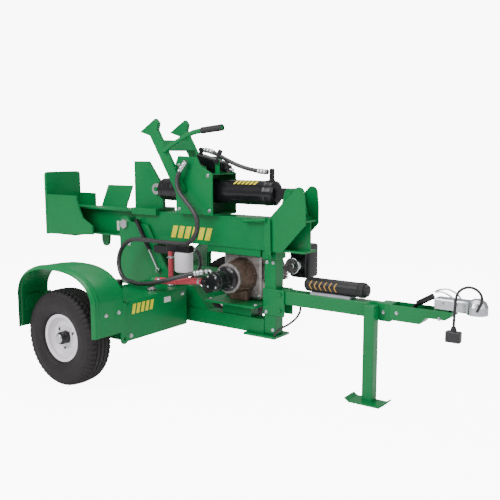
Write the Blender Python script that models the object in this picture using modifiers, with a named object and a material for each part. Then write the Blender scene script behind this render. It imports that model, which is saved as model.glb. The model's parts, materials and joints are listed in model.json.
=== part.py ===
"""Towed hydraulic log splitter that works lying down or standing up, as separate pieces for Blender 4.5.

X points forward along the tongue, Y to the left, Z up, in metres. Sizes are given from the point on the
ground under the wheel axle, and the root empty then moves the whole machine so that its origin is under its middle.
"""

from math import cos, pi, radians, sin

import bmesh
import bpy
from mathutils import Vector

# Overall
GAP = 0.0003            # between pieces that touch
CENTRE_X = 0.479        # middle of the machine's length, ahead of the axle

# Wheels and axle
WHEEL_R = 0.2325        # 5.70-8 trailer tyre
TRACK = 1.33
SPINDLE_R = 0.0125
HUB_BORE_R = 0.0133
FENDER_IN, FENDER_OUT = 0.5685, 0.753
FENDER_REACH = 0.27     # skirts ahead of and behind the axle
FENDER_CREASE_Z = 0.426
FENDER_RISE = 0.150

# Frame
RAIL_HALF = 0.038
RAIL_Z = (0.212, 0.288)
RAIL_X = (-0.03, 0.7027)
POST_X = (0.703, 0.7695)
POST_HALF = 0.0355
POST_TOP = 0.596
TANK_X = (-0.075, 0.235)
TANK_Y = (-0.514, -0.0705)
TANK_Z = (0.205, 0.407)
TANK_WALL = 0.004
RETURN_PORT, SUCTION_PORT = (0.155, -0.105), (0.150, -0.250)
TOWER_IN, TOWER_OUT = 0.060, 0.070
PIVOT_X, PIVOT_Z = -0.213, 0.711
PIVOT_R = 0.019

# Tongue
TONGUE_Z = (0.376, 0.443)
TONGUE_HALF = 0.0332
TONGUE_END = 1.367
CHANNEL_END = 1.641
JACK_X, JACK_Y, JACK_Z = 1.292, -0.0671, 0.410
JACK_SIZE = 0.0508
JACK_FOOT = (0.15, 0.12, 0.008)
BALL_X = 1.735

# Beam and ram
BEAM_X = (-0.7997, 0.942)
BEAM_Z = (0.635, 0.790)
BEAM_HALF = 0.0562
FLANGE, WEB = 0.010, 0.008
FOOT_X = (-0.820, -0.800)
FOOT_HALF = 0.130
FOOT_Z = (0.620, 0.990)
RAM_Z = 0.909
BARREL_R, BORE_R, ROD_R = 0.060, 0.0515, 0.025
ROD_PIN_X = -0.011
BASE_PIN_X = 0.848
EDGE_X = -0.199
STROKE = 0.59
GLAND_X = (0.022, 0.092)
PISTON_X = GLAND_X[1] + STROKE + 0.008

# Strut and log cradle
STRUT_FOOT = Vector((0.0435, -0.085, 0.477))
STRUT_TOP = Vector((-0.108, -0.085, 0.734))
CRADLE_Y, CRADLE_Z = 0.089, 0.746
REAR_LUG_X, FRONT_LUG_X = (-0.600, -0.5845), (-0.3755, -0.360)

# Valve box, yoke and latch
BOX_X = (0.194, 0.434)
BOX_Z = (0.7903, 1.037)
BOX_HALF = 0.100
BOX_SHEET = 0.005
YOKE_X, YOKE_Z = 0.235, 0.915
YOKE_LEAN = radians(31)  # from upright, towards the foot plate
LATCH_X, LATCH_Z = 0.750, 0.610
LATCH_Y = -0.0725
GRIP_Y = -0.0768        # far enough out to pass the cylinder's guard

# Power pack
CRANK_X, CRANK_Z = 0.530, 0.485
PLATE_Z = (0.352, 0.362)


# Scene, materials and the shape helpers
for old in list(bpy.data.objects):
    bpy.data.objects.remove(old, do_unlink=True)
PARTS = bpy.data.collections.new("log_splitter")
TOOLS = bpy.data.collections.new("cutters")
for group in (PARTS, TOOLS):
    bpy.context.scene.collection.children.link(group)
TOOLS.hide_render = True


def material(name, colour, roughness, metallic):
    made = bpy.data.materials.new(name)
    made.use_nodes = True
    shader = made.node_tree.nodes["Principled BSDF"]
    shader.inputs["Base Color"].default_value = (*colour, 1)
    shader.inputs["Roughness"].default_value = roughness
    shader.inputs["Metallic"].default_value = metallic
    return made


GREEN = material("green_paint", (0.0, 0.26, 0.09), 0.35, 0.0)
BLACK = material("black_paint", (0.012, 0.012, 0.015), 0.3, 0.0)
WHITE = material("white_paint", (0.80, 0.78, 0.82), 0.4, 0.0)
RED = material("red_rubber", (0.55, 0.08, 0.12), 0.5, 0.0)
RUBBER = material("black_rubber", (0.03, 0.03, 0.033), 0.75, 0.0)
STEEL = material("bright_steel", (0.62, 0.62, 0.64), 0.25, 1.0)
ZINC = material("zinc_plate", (0.66, 0.66, 0.70), 0.35, 1.0)
ALLOY = material("cast_alloy", (0.50, 0.50, 0.52), 0.5, 1.0)
BRONZE = material("cast_housing", (0.16, 0.12, 0.10), 0.5, 1.0)
PLASTIC = material("black_plastic", (0.02, 0.02, 0.022), 0.5, 0.0)


def link(obj, name, paint):
    """Names an object and puts it among the parts, or among the hidden tools when it has no material."""
    obj.name = name
    if obj.data is not None:
        obj.data.name = name
        if paint is not None:
            obj.data.materials.clear()
            obj.data.materials.append(paint)
    (TOOLS if paint is None else PARTS).objects.link(obj)
    if paint is None:
        obj.display_type = "WIRE"
        obj.hide_render = True
    return obj


def mesh_object(bm, name, paint):
    mesh = bpy.data.meshes.new(name)
    bm.to_mesh(mesh)
    bm.free()
    return link(bpy.data.objects.new(name, mesh), name, paint)


def bevelled(obj, width, segments=2):
    bevel = obj.modifiers.new("rounded_edges", "BEVEL")
    bevel.width = width
    bevel.segments = segments
    bevel.limit_method = "ANGLE"
    bevel.angle_limit = radians(40)
    return obj


def box(name, x, y, z, paint=None, bevel=0.0):
    """A box between two values on each axis, with its origin at its middle."""
    bm = bmesh.new()
    bmesh.ops.create_cube(bm, size=1.0)
    for vert in bm.verts:
        vert.co.x *= x[1] - x[0]
        vert.co.y *= y[1] - y[0]
        vert.co.z *= z[1] - z[0]
    obj = mesh_object(bm, name, paint)
    obj.location = ((x[0] + x[1]) / 2, (y[0] + y[1]) / 2, (z[0] + z[1]) / 2)
    return bevelled(obj, bevel) if bevel else obj


def rod(name, start, end, radius, paint=None, sides=16, end_radius=None):
    """A cylinder or cone from one point to another."""
    start, end = Vector(start), Vector(end)
    bm = bmesh.new()
    bmesh.ops.create_cone(
        bm, cap_ends=True, segments=sides, radius1=radius,
        radius2=radius if end_radius is None else end_radius, depth=(end - start).length,
    )
    obj = mesh_object(bm, name, paint)
    obj.rotation_euler = (end - start).to_track_quat("Z", "Y").to_euler()
    obj.location = (start + end) / 2
    return obj


def settled(obj):
    """Turns a curve object into a mesh object with its shared corners merged, so that it can be cut or
    joined."""
    bpy.context.view_layer.update()
    mesh = bpy.data.meshes.new_from_object(obj.evaluated_get(bpy.context.evaluated_depsgraph_get()))
    bm = bmesh.new()
    bm.from_mesh(mesh)
    bmesh.ops.remove_doubles(bm, verts=bm.verts, dist=1e-6)
    bmesh.ops.recalc_face_normals(bm, faces=bm.faces)
    bm.to_mesh(mesh)
    bm.free()
    made = bpy.data.objects.new(obj.name, mesh)
    made.matrix_world = obj.matrix_world
    name, paint = obj.name, (obj.data.materials[0] if obj.data.materials else None)
    bpy.data.objects.remove(obj)
    return link(made, name, paint)


FACING = {"XZ": (pi / 2, 0, 0), "YZ": (pi / 2, 0, pi / 2), "XY": (0, 0, 0)}
NORMAL = {"XZ": 1, "YZ": 0, "XY": 2}


def plate(name, outline, plane, span, paint=None):
    """A flat sheet: a closed outline in a plane, thick between the two values of span across it."""
    curve = bpy.data.curves.new(name, "CURVE")
    curve.dimensions = "2D"
    curve.fill_mode = "BOTH"
    curve.extrude = (span[1] - span[0]) / 2
    spline = curve.splines.new("POLY")
    spline.points.add(len(outline) - 1)
    for point, (u, v) in zip(spline.points, outline):
        point.co = (u, v, 0, 1)
    spline.use_cyclic_u = True
    obj = link(bpy.data.objects.new(name, curve), name, paint)
    obj.rotation_euler = FACING[plane]
    obj.location[NORMAL[plane]] = (span[0] + span[1]) / 2
    return settled(obj)


def arc(centre, radius, start, end, steps=6):
    """Points round part of a circle, angles in degrees."""
    turn = [radians(start + (end - start) * i / steps) for i in range(steps + 1)]
    return [(centre[0] + radius * cos(a), centre[1] + radius * sin(a)) for a in turn]


def turned(name, profile, at, towards, paint=None, steps=24, closed=False):
    """A profile of (radius, distance along) turned about the line from at towards a direction."""
    bm = bmesh.new()
    verts = [bm.verts.new((r, 0, z)) for r, z in profile]
    pairs = list(zip(verts, verts[1:])) + ([(verts[-1], verts[0])] if closed else [])
    for pair in pairs:
        bm.edges.new(pair)
    obj = mesh_object(bm, name, paint)
    screw = obj.modifiers.new("turn", "SCREW")
    screw.steps = screw.render_steps = steps
    screw.use_merge_vertices = True
    screw.merge_threshold = 0.00005
    obj.rotation_euler = Vector(towards).to_track_quat("Z", "Y").to_euler()
    obj.location = at
    return obj


def smooth(points, count):
    """An even walk along the smooth curve through some points."""
    pts = [Vector(p) for p in points]
    pts = [2 * pts[0] - pts[1], *pts, 2 * pts[-1] - pts[-2]]
    fine = []
    for a, b, c, d in zip(pts, pts[1:], pts[2:], pts[3:]):
        for step in range(20):
            t = step / 20
            fine.append(0.5 * (2 * b + (c - a) * t + (2 * a - 5 * b + 4 * c - d) * t * t
                               + (3 * b - a - 3 * c + d) * t**3))
    fine.append(pts[-2])
    lengths = [0.0]
    for a, b in zip(fine, fine[1:]):
        lengths.append(lengths[-1] + (b - a).length)
    walk, at = [], 0
    for i in range(count):
        want = lengths[-1] * i / (count - 1)
        while at < len(lengths) - 2 and lengths[at + 1] < want:
            at += 1
        share = (want - lengths[at]) / (lengths[at + 1] - lengths[at])
        walk.append(fine[at].lerp(fine[at + 1], share))
    return walk


def tube(name, points, radius, paint=None, roundness=2):
    """A round tube along a line of points, with closed ends."""
    curve = bpy.data.curves.new(name, "CURVE")
    curve.dimensions = "3D"
    curve.bevel_depth = radius
    curve.bevel_resolution = roundness
    curve.use_fill_caps = True
    spline = curve.splines.new("POLY")
    spline.points.add(len(points) - 1)
    for point, place in zip(spline.points, points):
        point.co = (*place, 1)
    return link(bpy.data.objects.new(name, curve), name, paint)


def boolean(obj, operation, others):
    for other in others:
        step = obj.modifiers.new(other.name, "BOOLEAN")
        step.operation = operation
        step.solver = "EXACT"
        step.object = other
    return obj


def weld(obj, *others):
    return boolean(obj, "UNION", others)


def cut(obj, *others):
    return boolean(obj, "DIFFERENCE", others)


def drill(name, at, axis, radius, length=0.3, sides=24):
    """A cutter for a round hole through a point along an axis."""
    half = Vector(axis) * length / 2
    return rod(name, Vector(at) - half, Vector(at) + half, radius, sides=sides)


def pivot(name, at):
    """An empty on a joint's axis, which the pieces that turn about it hang from."""
    empty = bpy.data.objects.new(name, None)
    empty.location = at
    empty.empty_display_size = 0.05
    PARTS.objects.link(empty)
    return empty


def hang(parent, *children):
    """Parents objects without moving them."""
    bpy.context.view_layer.update()
    for child in children:
        child.parent = parent
        child.matrix_parent_inverse = parent.matrix_world.inverted()


# Wheels, hubs, spindles and the axle
def tyre_profile():
    outer = [(0.1035, 0.042), (0.1165, 0.044), (0.124, 0.057), (0.150, 0.068), (0.185, 0.0695),
             (0.212, 0.065), (0.227, 0.054), (WHEEL_R, 0.036)]
    inner = [(0.1035, 0.034), (0.130, 0.048), (0.185, 0.059), (0.215, 0.045)]
    down = outer + [(r, -y) for r, y in reversed(outer)]
    up = [(r, -y) for r, y in inner] + list(reversed(inner))
    return down + up


def rim_profile():
    seat = [(0.1155, 0.050), (0.1155, 0.0455), (0.1030, 0.044), (0.102, 0.030), (0.090, 0.020)]
    back = [(0.1155, -0.0455), (0.1155, -0.050), (0.100, -0.048), (0.0985, -0.031), (0.0865, -0.021)]
    disc = [(0.0865, 0.012), (0.062, 0.020), (0.046, 0.016), (0.0305, 0.016),
            (0.0305, 0.020), (0.046, 0.020), (0.062, 0.024), (0.0865, 0.017)]
    lip = [(0.0985, 0.031), (0.100, 0.048)]
    well = [(r, -y) for r, y in reversed(seat[2:])]
    return seat + well + back + disc + lip


HUB = [(0, 0.066), (0.022, 0.066), (0.025, 0.060), (0.030, 0.055), (0.030, 0.0157), (0.045, 0.0157),
       (0.045, 0.0095), (0.030, 0.009), (0.030, -0.050), (HUB_BORE_R, -0.050), (HUB_BORE_R, 0.052), (0,
                                                                                                     0.052)]


def wheel(side, out):
    """One wheel: out is -1 on the right and +1 on the left."""
    centre = (0, out * TRACK / 2, WHEEL_R)
    towards = (0, out, 0)
    pieces = [
        turned(f"{side}_tyre", tyre_profile(), centre, towards, RUBBER, steps=24, closed=True),
        turned(f"{side}_rim", rim_profile(), centre, towards, WHITE, steps=24, closed=True),
        turned(f"{side}_hub", HUB, centre, towards, BLACK, steps=16),
    ]
    hang(pivot(f"{side}_wheel_axis", centre), *pieces)


def spindle_tip(name, out, paint=None):
    """The stepped end of an axle that the hub turns on."""
    start, end = out * (TRACK / 2 - 0.140), out * (TRACK / 2 + 0.050)
    shoulder = out * (TRACK / 2 - 0.051)
    tip = rod(name, (0, start, WHEEL_R), (0, shoulder, WHEEL_R), 0.022, paint, 16)
    return weld(tip, rod(f"{name}_nose", (0, shoulder - out * 0.01, WHEEL_R), (0, end, WHEEL_R), SPINDLE_R))


for side, out in (("right", -1), ("left", 1)):
    wheel(side, out)

axle_tube = box("axle_tube", (-0.025, 0.025), (RAIL_HALF + GAP, 0.530), (0.2085, 0.2565), GREEN)
weld(axle_tube, spindle_tip("left_spindle", 1))
weld(axle_tube, box("left_fender_plate", (-0.06, 0.06), (0.520, 0.530), (0.210, 0.355)))


# Fenders, each with its bracket
def fender_line():
    """Front skirt, arch and rear skirt, seen from the side."""
    arch = [radians(9 * step) for step in range(21)]
    over = [(FENDER_REACH * abs(cos(a)) ** 0.8 * (1 if cos(a) > 0 else -1),
             FENDER_CREASE_Z + FENDER_RISE * sin(a))
            for a in arch]
    return [(FENDER_REACH, 0.274), *over, (-FENDER_REACH, 0.255)]


def fender(side, out):
    line = fender_line()
    bm = bmesh.new()
    edges = []
    for y in (FENDER_IN, FENDER_OUT):
        edges.append([bm.verts.new((x, out * y, z)) for x, z in line])
    for a, b, c, d in zip(edges[0], edges[0][1:], edges[1][1:], edges[1]):
        bm.faces.new((a, b, c, d) if out > 0 else (d, c, b, a))
    shell = mesh_object(bm, f"{side}_fender", GREEN)
    sheet = shell.modifiers.new("sheet", "SOLIDIFY")
    sheet.thickness = 0.003
    sheet.offset = 0
    bead = tube(f"{side}_fender_bead", [(x, out * FENDER_OUT, z) for x, z in line], 0.0055, roundness=1)
    return weld(shell, settled(bead))


def fender_bracket(side, out):
    """A strap across the axle's end with an arm behind each skirt."""
    inner, outer = sorted((out * 0.5555, out * 0.5495))
    strap = box(f"{side}_fender_bracket", (-0.266, 0.266), (inner, outer), (0.330, 0.395), GREEN)
    reach = sorted((out * 0.5505, out * 0.705))
    arms = []
    for end, x in (("front", 0.2665), ("rear", -0.2665)):
        arms.append(box(f"{side}_{end}_arm", (x - 0.002, x + 0.0015), reach, (0.330, 0.410)))
    for arm in arms:
        arm.location.x -= 0.0003 * (1 if arm.location.x > 0 else -1)
    return weld(strap, *arms)


for side, out in (("right", -1), ("left", 1)):
    fender(side, out)
    fender_bracket(side, out)
lug = plate("right_lug", [(-0.5585, 0.390), (-0.495, 0.390), (-0.495, 0.330), (-0.5115, 0.300),
                          *arc((-0.535, 0.224), 0.0235, 0, -180)], "YZ", (TANK_X[1] + GAP, 0.243))
cut(lug, drill("right_lug_hole", (0.24, -0.535, 0.226), (1, 0, 0), 0.008, 0.05, 12))
weld(bpy.data.objects["right_fender_bracket"], lug)
weld(bpy.data.objects["left_fender_bracket"], box("left_web", (-0.03, 0.03), (0.5303, 0.551), (0.335, 0.350)))


# Hydraulic tank, which is also the right half of the axle
tank = box("hydraulic_tank", TANK_X, TANK_Y, TANK_Z, GREEN, bevel=0.006)
weld(tank, box("tank_pad", (0.03, 0.20), (TANK_Y[1] - 0.01, -RAIL_HALF - GAP), (RAIL_Z[0] + 0.01,
                                                                                RAIL_Z[1] - 0.01)))
FILLER_X, FILLER_Y = -0.044, -0.300
weld(tank, rod("filler_neck", (FILLER_X, FILLER_Y, TANK_Z[1] - 0.002), (FILLER_X, FILLER_Y, 0.425), 0.026))
weld(tank, rod("suction_fitting", (*SUCTION_PORT, 0.410), (*SUCTION_PORT, 0.474), 0.0150, sides=12))
weld(tank, rod("suction_elbow", (SUCTION_PORT[0] - 0.006, -0.2511, 0.4590), (0.180, -0.2443, 0.4595), 0.0155))
weld(tank, spindle_tip("right_spindle", -1))
weld(tank, box("spindle_block", (-0.045, 0.045), (-0.545, TANK_Y[0] + 0.002), (0.209, 0.262)))
cut(tank, box("tank_inside", *[(low + TANK_WALL, high - TANK_WALL) for low, high in (TANK_X, TANK_Y,
                                                                                     TANK_Z)]))
cut(tank, drill("filler_hole", (FILLER_X, FILLER_Y, 0.415), (0, 0, 1), 0.020, 0.06, 16))
for spot in (RETURN_PORT, SUCTION_PORT):
    weld(tank, rod(f"tank_port{spot[1]}", (*spot, TANK_Z[1] - 0.002), (*spot, 0.416), 0.020))

cap = turned("tank_cap", [(0, 0.022), (0.024, 0.022), (0.028, 0.018), (0.028, GAP), (0, GAP)],
             (FILLER_X, FILLER_Y, 0.425), (0, 0, 1), BLACK, steps=20)
hang(pivot("tank_cap_axis", (FILLER_X, FILLER_Y, 0.425)), cap)


# Spine of the frame
rail = box("spine_rail", RAIL_X, (-RAIL_HALF, RAIL_HALF), RAIL_Z, GREEN, bevel=0.005)
weld(rail, box("tower_base", (0.0, 0.135), (-TOWER_IN + GAP, TOWER_IN - GAP), (RAIL_Z[1] - 0.01, 0.360)))
weld(rail, plate("brace", [(0.100, 0.330), (0.120, 0.400), (0.245, 0.400), (0.350, 0.280), (0.150, 0.280)],
                 "XZ", (-0.030, 0.030)))
weld(rail, box("skid_plate", (0.600, 0.785), (-0.068, 0.068), (0.203, RAIL_Z[0] + 0.003)))

post = box("latch_post", POST_X, (-POST_HALF, POST_HALF), (RAIL_Z[0] + 0.004, POST_TOP), GREEN, bevel=0.004)
for side in (-1, 1):
    y = sorted((side * (POST_HALF - 0.002), side * 0.0425))
    weld(post, box(f"tongue_plate{side}", (0.698, 0.822), y, (0.315, 0.4465), bevel=0.003))
    for x, z in ((0.800, 0.425), (0.800, 0.345)):
        weld(post, rod(f"bolt{side}{x}{z}", (x, side * 0.040, z), (x, side * 0.050, z), 0.0095, sides=6))
weld(post, box("beam_rest", (POST_X[0] - 0.006, POST_X[1] + 0.006), (-0.045, 0.045), (POST_TOP - 0.004,
                                                                                      0.6347)))
weld(post, rod("latch_stub", (LATCH_X, -0.040, LATCH_Z), (LATCH_X, -0.0785, LATCH_Z), 0.007))

# The two tower plates that carry the beam's tilt pin
TOWER = [*arc((PIVOT_X, PIVOT_Z), 0.045, 180, 20, 8), (-0.040, 0.715), (0.128, 0.432), (0.128, 0.305),
         (-0.020, 0.305),
         (-0.060, 0.372), (-0.254, 0.372), (-0.254, 0.560)]
for side, out in (("right", -1), ("left", 1)):
    y = sorted((out * TOWER_IN, out * TOWER_OUT))
    tower = plate(f"{side}_tower_plate", TOWER, "XZ", y, GREEN)
    cut(tower, drill(f"{side}_pivot_hole", (PIVOT_X, out * 0.065, PIVOT_Z), (0, 1, 0), PIVOT_R + 0.0005,
                     0.05))

# With the beam upright the cradle's front lug comes to rest in this notch
notch_z = [PIVOT_Z + (x - PIVOT_X) + room for x, room in zip(FRONT_LUG_X, (-0.012, 0.012))]
cut(bpy.data.objects["left_tower_plate"],
    box("cradle_notch", (PIVOT_X - 0.060, PIVOT_X - 0.020), (0.050, 0.080), notch_z))

tilt_pin = rod("tilt_pin", (PIVOT_X, -0.074, PIVOT_Z), (PIVOT_X, 0.074, PIVOT_Z), PIVOT_R, STEEL, 24)
weld(tilt_pin, rod("tilt_pin_head", (PIVOT_X, -0.0705, PIVOT_Z), (PIVOT_X, -0.084, PIVOT_Z), 0.027, sides=6))
weld(tilt_pin, rod("tilt_pin_nut", (PIVOT_X, 0.0705, PIVOT_Z), (PIVOT_X, 0.084, PIVOT_Z), 0.027, sides=6))


# Tongue, coupler and jack
tongue = box("tongue", (POST_X[1] + GAP, TONGUE_END), (-TONGUE_HALF, TONGUE_HALF), TONGUE_Z, GREEN,
             bevel=0.004)
weld(tongue, box("tongue_collar", (TONGUE_END - 0.050, TONGUE_END), (-0.0385, 0.0385), (0.370, 0.449)))
weld(tongue, rod("jack_mount", (JACK_X, -0.028, JACK_Z), (JACK_X, JACK_Y + JACK_SIZE / 2 + 0.0005, JACK_Z),
                 0.045,
                 sides=24))

CHANNEL = [(TONGUE_END + GAP, 0.449), (TONGUE_END + GAP, 0.380), (1.505, 0.380), (1.531, 0.412), (1.615,
                                                                                                  0.412),
           (CHANNEL_END, 0.429), (CHANNEL_END, 0.449)]
channel = plate("tongue_channel", CHANNEL, "XZ", (-0.042, 0.042), GREEN)
TROUGH = [(1.3733, 0.470), (1.3733, 0.385), (1.503, 0.385), (1.529, 0.417), (1.613, 0.417), (1.635, 0.432),
          (1.635, 0.470)]
cut(channel, plate("channel_inside", TROUGH, "XZ", (-0.037, 0.037)))
weld(channel, box("coupler_seat", (1.560, 1.625), (-0.041, 0.041), (0.438, 0.4490)))

coupler = box("coupler", (1.560, 1.705), (-0.030, 0.030), (0.4494, 0.500), ZINC, bevel=0.006)

SOCKET = [(0, 0.062), (0.020, 0.060), (0.036, 0.048), (0.043, 0.030), (0.043, -0.004), (0.0262, -0.004),
          (0.0262, 0.020), (0.022, 0.036), (0.012, 0.045), (0, 0.047)]
weld(coupler, turned("ball_socket", SOCKET, (BALL_X, 0, 0.450), (0, 0, 1), steps=24))
bail_line = [(1.655, -0.0355, 0.490), (1.640, -0.0355, 0.512), (1.600, -0.0355, 0.530), (1.568, -0.033,
                                                                                         0.527),
             (1.562, -0.022, 0.526), (1.562, 0.022, 0.526), (1.568, 0.033, 0.527), (1.600, 0.0355, 0.530),
             (1.640, 0.0355, 0.512), (1.655, 0.0355, 0.490)]
bail = tube("coupler_bail", smooth(bail_line, 20), 0.004, ZINC)
hang(pivot("coupler_bail_axis", (1.655, 0, 0.490)), bail)

handle_line = [(1.455, 0, 0.436), (1.470, 0, 0.452), (1.500, 0, 0.474), (1.545, 0, 0.500)]
lift_handle = settled(tube("lift_handle", smooth(handle_line, 8), 0.007, BLACK))
weld(lift_handle, rod("lift_handle_grip", (1.478, 0, 0.460), (1.547, 0, 0.5015), 0.0125, sides=12))
weld(lift_handle, rod("lift_handle_bar", (1.455, -0.0366, 0.436), (1.455, 0.0366, 0.436), 0.008, sides=12))

leg_half = JACK_SIZE / 2
jack = box("jack_leg", (JACK_X - leg_half, JACK_X + leg_half), (JACK_Y - leg_half, JACK_Y + leg_half),
           (0.004, 0.442), GREEN, bevel=0.003)
foot_y = (-0.1275, -0.0368)
foot_x = (JACK_X - JACK_FOOT[0] / 2, JACK_X + JACK_FOOT[0] / 2)
weld(jack, box("jack_foot", foot_x, foot_y, (0, JACK_FOOT[2])))
for end, out in ((foot_x[0], -1), (foot_x[1], 1)):
    curl = [(end - out * 0.003, 0.0005), (end + out * 0.020, 0.016), (end + out * 0.015, 0.021),
            (end - out * 0.004, 0.0078)]
    weld(jack, plate(f"jack_foot_curl{out}", curl, "XZ", foot_y))
hang(pivot("jack_axis", (JACK_X, JACK_Y, JACK_Z)), jack)

TUBE_X, TUBE_Z = 0.919, 0.4872
holder = turned("document_tube", [(0, 0.016), (0.031, 0.020), (0.031, 0.285), (0.0345, 0.285), (0.0345,
                                                                                                0.022),
                                  (0.0325, 0.012), (0.022, 0.002), (0, 0)], (TUBE_X, 0, TUBE_Z), (1, 0, 0),
                                  PLASTIC)
weld(holder, box("document_tube_foot", (0.960, 1.170), (-0.014, 0.014), (TONGUE_Z[1] + GAP, 0.4545)))
lid = turned("document_tube_cap", [(0, 0.041), (0.026, 0.041), (0.028, 0.034), (0.028, 0.030), (0.036, 0.028),
                                   (0.036, GAP), (0, GAP)], (TUBE_X + 0.285, 0, TUBE_Z), (1, 0, 0),
                                   PLASTIC, steps=20)
hang(pivot("document_tube_cap_axis", (TUBE_X + 0.285, 0, TUBE_Z)), lid)

# Trailer light cable, its plug and the harness under the tongue
light_line = [(1.748, -0.0500, 0.468), (1.7557, -0.0504, 0.4848), (1.7635, -0.0516, 0.5017),
              (1.7676, -0.0543, 0.5253), (1.7598, -0.0582, 0.5479), (1.7418, -0.0630, 0.5638),
              (1.7184, -0.0684, 0.5690), (1.6955, -0.0742, 0.5620), (1.6789, -0.0800, 0.5447),
              (1.6728, -0.0856, 0.5215), (1.6728, -0.0904, 0.4984), (1.6728, -0.0944, 0.4753),
              (1.6728, -0.0975, 0.4522), (1.6728, -0.0994, 0.4291), (1.6728, -0.1000, 0.406)]
light_cable = tube("light_cable", smooth(light_line, 28), 0.0055, RUBBER)
plug = rod("light_plug", (1.673, -0.100, 0.4057), (1.673, -0.100, 0.386), 0.010, RUBBER, 16, end_radius=0.014)
weld(plug, box("light_plug_body", (1.643, 1.704), (-0.117, -0.083), (0.342, 0.388), bevel=0.004))
harness_line = [(0.898, -0.012, 0.3745), (0.894, -0.014, 0.345), (0.876, -0.022, 0.312),
                (0.845, -0.034, 0.283), (0.812, -0.046, 0.262), (0.787, -0.054, 0.240),
                (0.7748, -0.0578, 0.2178)]
harness = tube("light_harness", smooth(harness_line, 18), 0.0055, RUBBER)


# Splitting beam with its foot plate
beam = box("splitting_beam", BEAM_X, (-BEAM_HALF, BEAM_HALF), (BEAM_Z[1] - FLANGE, BEAM_Z[1]), GREEN)
lug_outline = [(-0.470, 0.640), (-0.470, 0.600), *arc((-0.440, 0.588), 0.026, 180, 360), (-0.410, 0.600),
               (-0.410, 0.640)]
weld(
    beam,
    box("beam_web", BEAM_X, (-WEB / 2, WEB / 2), (BEAM_Z[0] + 0.005, BEAM_Z[1] - 0.005)),
    box("beam_bottom_flange", BEAM_X, (-BEAM_HALF, BEAM_HALF), (BEAM_Z[0], BEAM_Z[0] + FLANGE)),
    box("side_panel", (-0.140, 0.740), (-0.0557, -0.051), (BEAM_Z[0] + 0.008, BEAM_Z[1] - 0.008)),
    box("beam_rib", (0.360, 0.690), (-0.050, 0.050), (0.600, BEAM_Z[0] + 0.003)),
    plate("beam_lug", lug_outline, "XZ", (-0.008, 0.008)),
    rod("pivot_boss", (PIVOT_X, -0.0555, PIVOT_Z), (PIVOT_X, 0.0555, PIVOT_Z), 0.032, sides=24),
    rod("strut_stud", (STRUT_TOP[0], -0.053, STRUT_TOP[2]), (STRUT_TOP[0], -0.0735, STRUT_TOP[2]), 0.007,
        sides=12),
    box("cradle_lug_rear", REAR_LUG_X, (0.002, 0.0985), (0.736, 0.757)),
    box("cradle_lug_front", FRONT_LUG_X, (0.002, 0.0985), (0.736, 0.757)),
)
cut(beam, drill("pivot_bore", (PIVOT_X, 0, PIVOT_Z), (0, 1, 0), PIVOT_R + 0.0005))
cut(beam, drill("cradle_bore", (-0.48, CRADLE_Y, CRADLE_Z), (1, 0, 0), 0.0050, 0.4, 16))

FOOT = [(-FOOT_HALF, FOOT_Z[0]), (FOOT_HALF, FOOT_Z[0]), *arc((FOOT_HALF - 0.02, FOOT_Z[1] - 0.02), 0.02,
                                                              0, 90, 4),
        *arc((-FOOT_HALF + 0.02, FOOT_Z[1] - 0.02), 0.02, 90, 180, 4)]
foot = plate("foot_plate", FOOT, "YZ", FOOT_X, GREEN)
SIDE = [(-0.810, 0.621), (-0.412, 0.641), (-0.415, 0.689), (-0.494, 0.729), (-0.522, 0.780), (-0.540, 0.832),
        (-0.540, 0.858), (-0.810, 0.858)]
weld(
    foot,
    plate("right_cheek", SIDE, "XZ", (-0.1295, -0.118)),
    plate("left_cheek", [(min(x, -0.660), z) for x, z in SIDE[:2]] + [(-0.660, 0.858), SIDE[-1]], "XZ",
          (0.118, 0.1295)),
    box("foot_web", (-0.810, -0.570), (-0.119, 0.119), (0.6235, BEAM_Z[0] - GAP)),
)

CRADLE = [(CRADLE_Y - 0.006, 0.742), (CRADLE_Y + 0.004, 0.738), (0.118, 0.800), (0.168, 0.905), (0.160,
                                                                                                 0.910),
          (0.108, 0.800)]
cradle = plate("log_cradle", CRADLE, "YZ", (-0.583, -0.377), GREEN)
weld(cradle, rod("cradle_pin", (-0.606, CRADLE_Y, CRADLE_Z), (-0.354, CRADLE_Y, CRADLE_Z), 0.0044, sides=12))
weld(cradle, rod("cradle_pin_knob", (-0.3597, CRADLE_Y, CRADLE_Z), (-0.345, CRADLE_Y, CRADLE_Z), 0.009,
                 sides=12))
hang(pivot("cradle_axis", (FRONT_LUG_X[1], CRADLE_Y, CRADLE_Z)), cradle)


# Ram, wedge and the anchor that holds the ram's base
barrel = turned("cylinder_barrel", [(0, 0.755), (0.045, 0.755), (BARREL_R, 0.745), (BARREL_R, 0.055),
                                    (BORE_R, 0.055), (BORE_R, 0.735), (0, 0.735)], (0, 0, RAM_Z), (1, 0,
                                                                                                   0),
                                    BLACK, 24)
weld(barrel, box("base_tang", (0.745, 0.845), (-0.028, 0.028), (RAM_Z - 0.026, RAM_Z + 0.026)))
weld(barrel, rod("base_eye", (BASE_PIN_X, -0.028, RAM_Z), (BASE_PIN_X, 0.028, RAM_Z), 0.028, sides=24))
weld(barrel, rod("base_port", (0.722, 0, RAM_Z + BARREL_R - 0.006), (0.722, 0, 1.019), 0.012, sides=12))
weld(barrel, rod("base_elbow", (0.728, 0, 1.0115), (0.699, 0, 1.0115), 0.0115, sides=12))
cut(barrel, drill("base_pin_bore", (BASE_PIN_X, 0, RAM_Z), (0, 1, 0), 0.0135))
gland = turned("cylinder_gland", [(0.0509, GLAND_X[1]), (0.0509, 0.0545), (BARREL_R, 0.0545), (BARREL_R,
                                                                                               0.030),
                                  (0.054, GLAND_X[0]), (ROD_R + 0.0005, GLAND_X[0]), (ROD_R + 0.0005,
                                                                                      GLAND_X[1])],
               (0, 0, RAM_Z), (1, 0, 0), BLACK, 24, closed=True)

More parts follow.
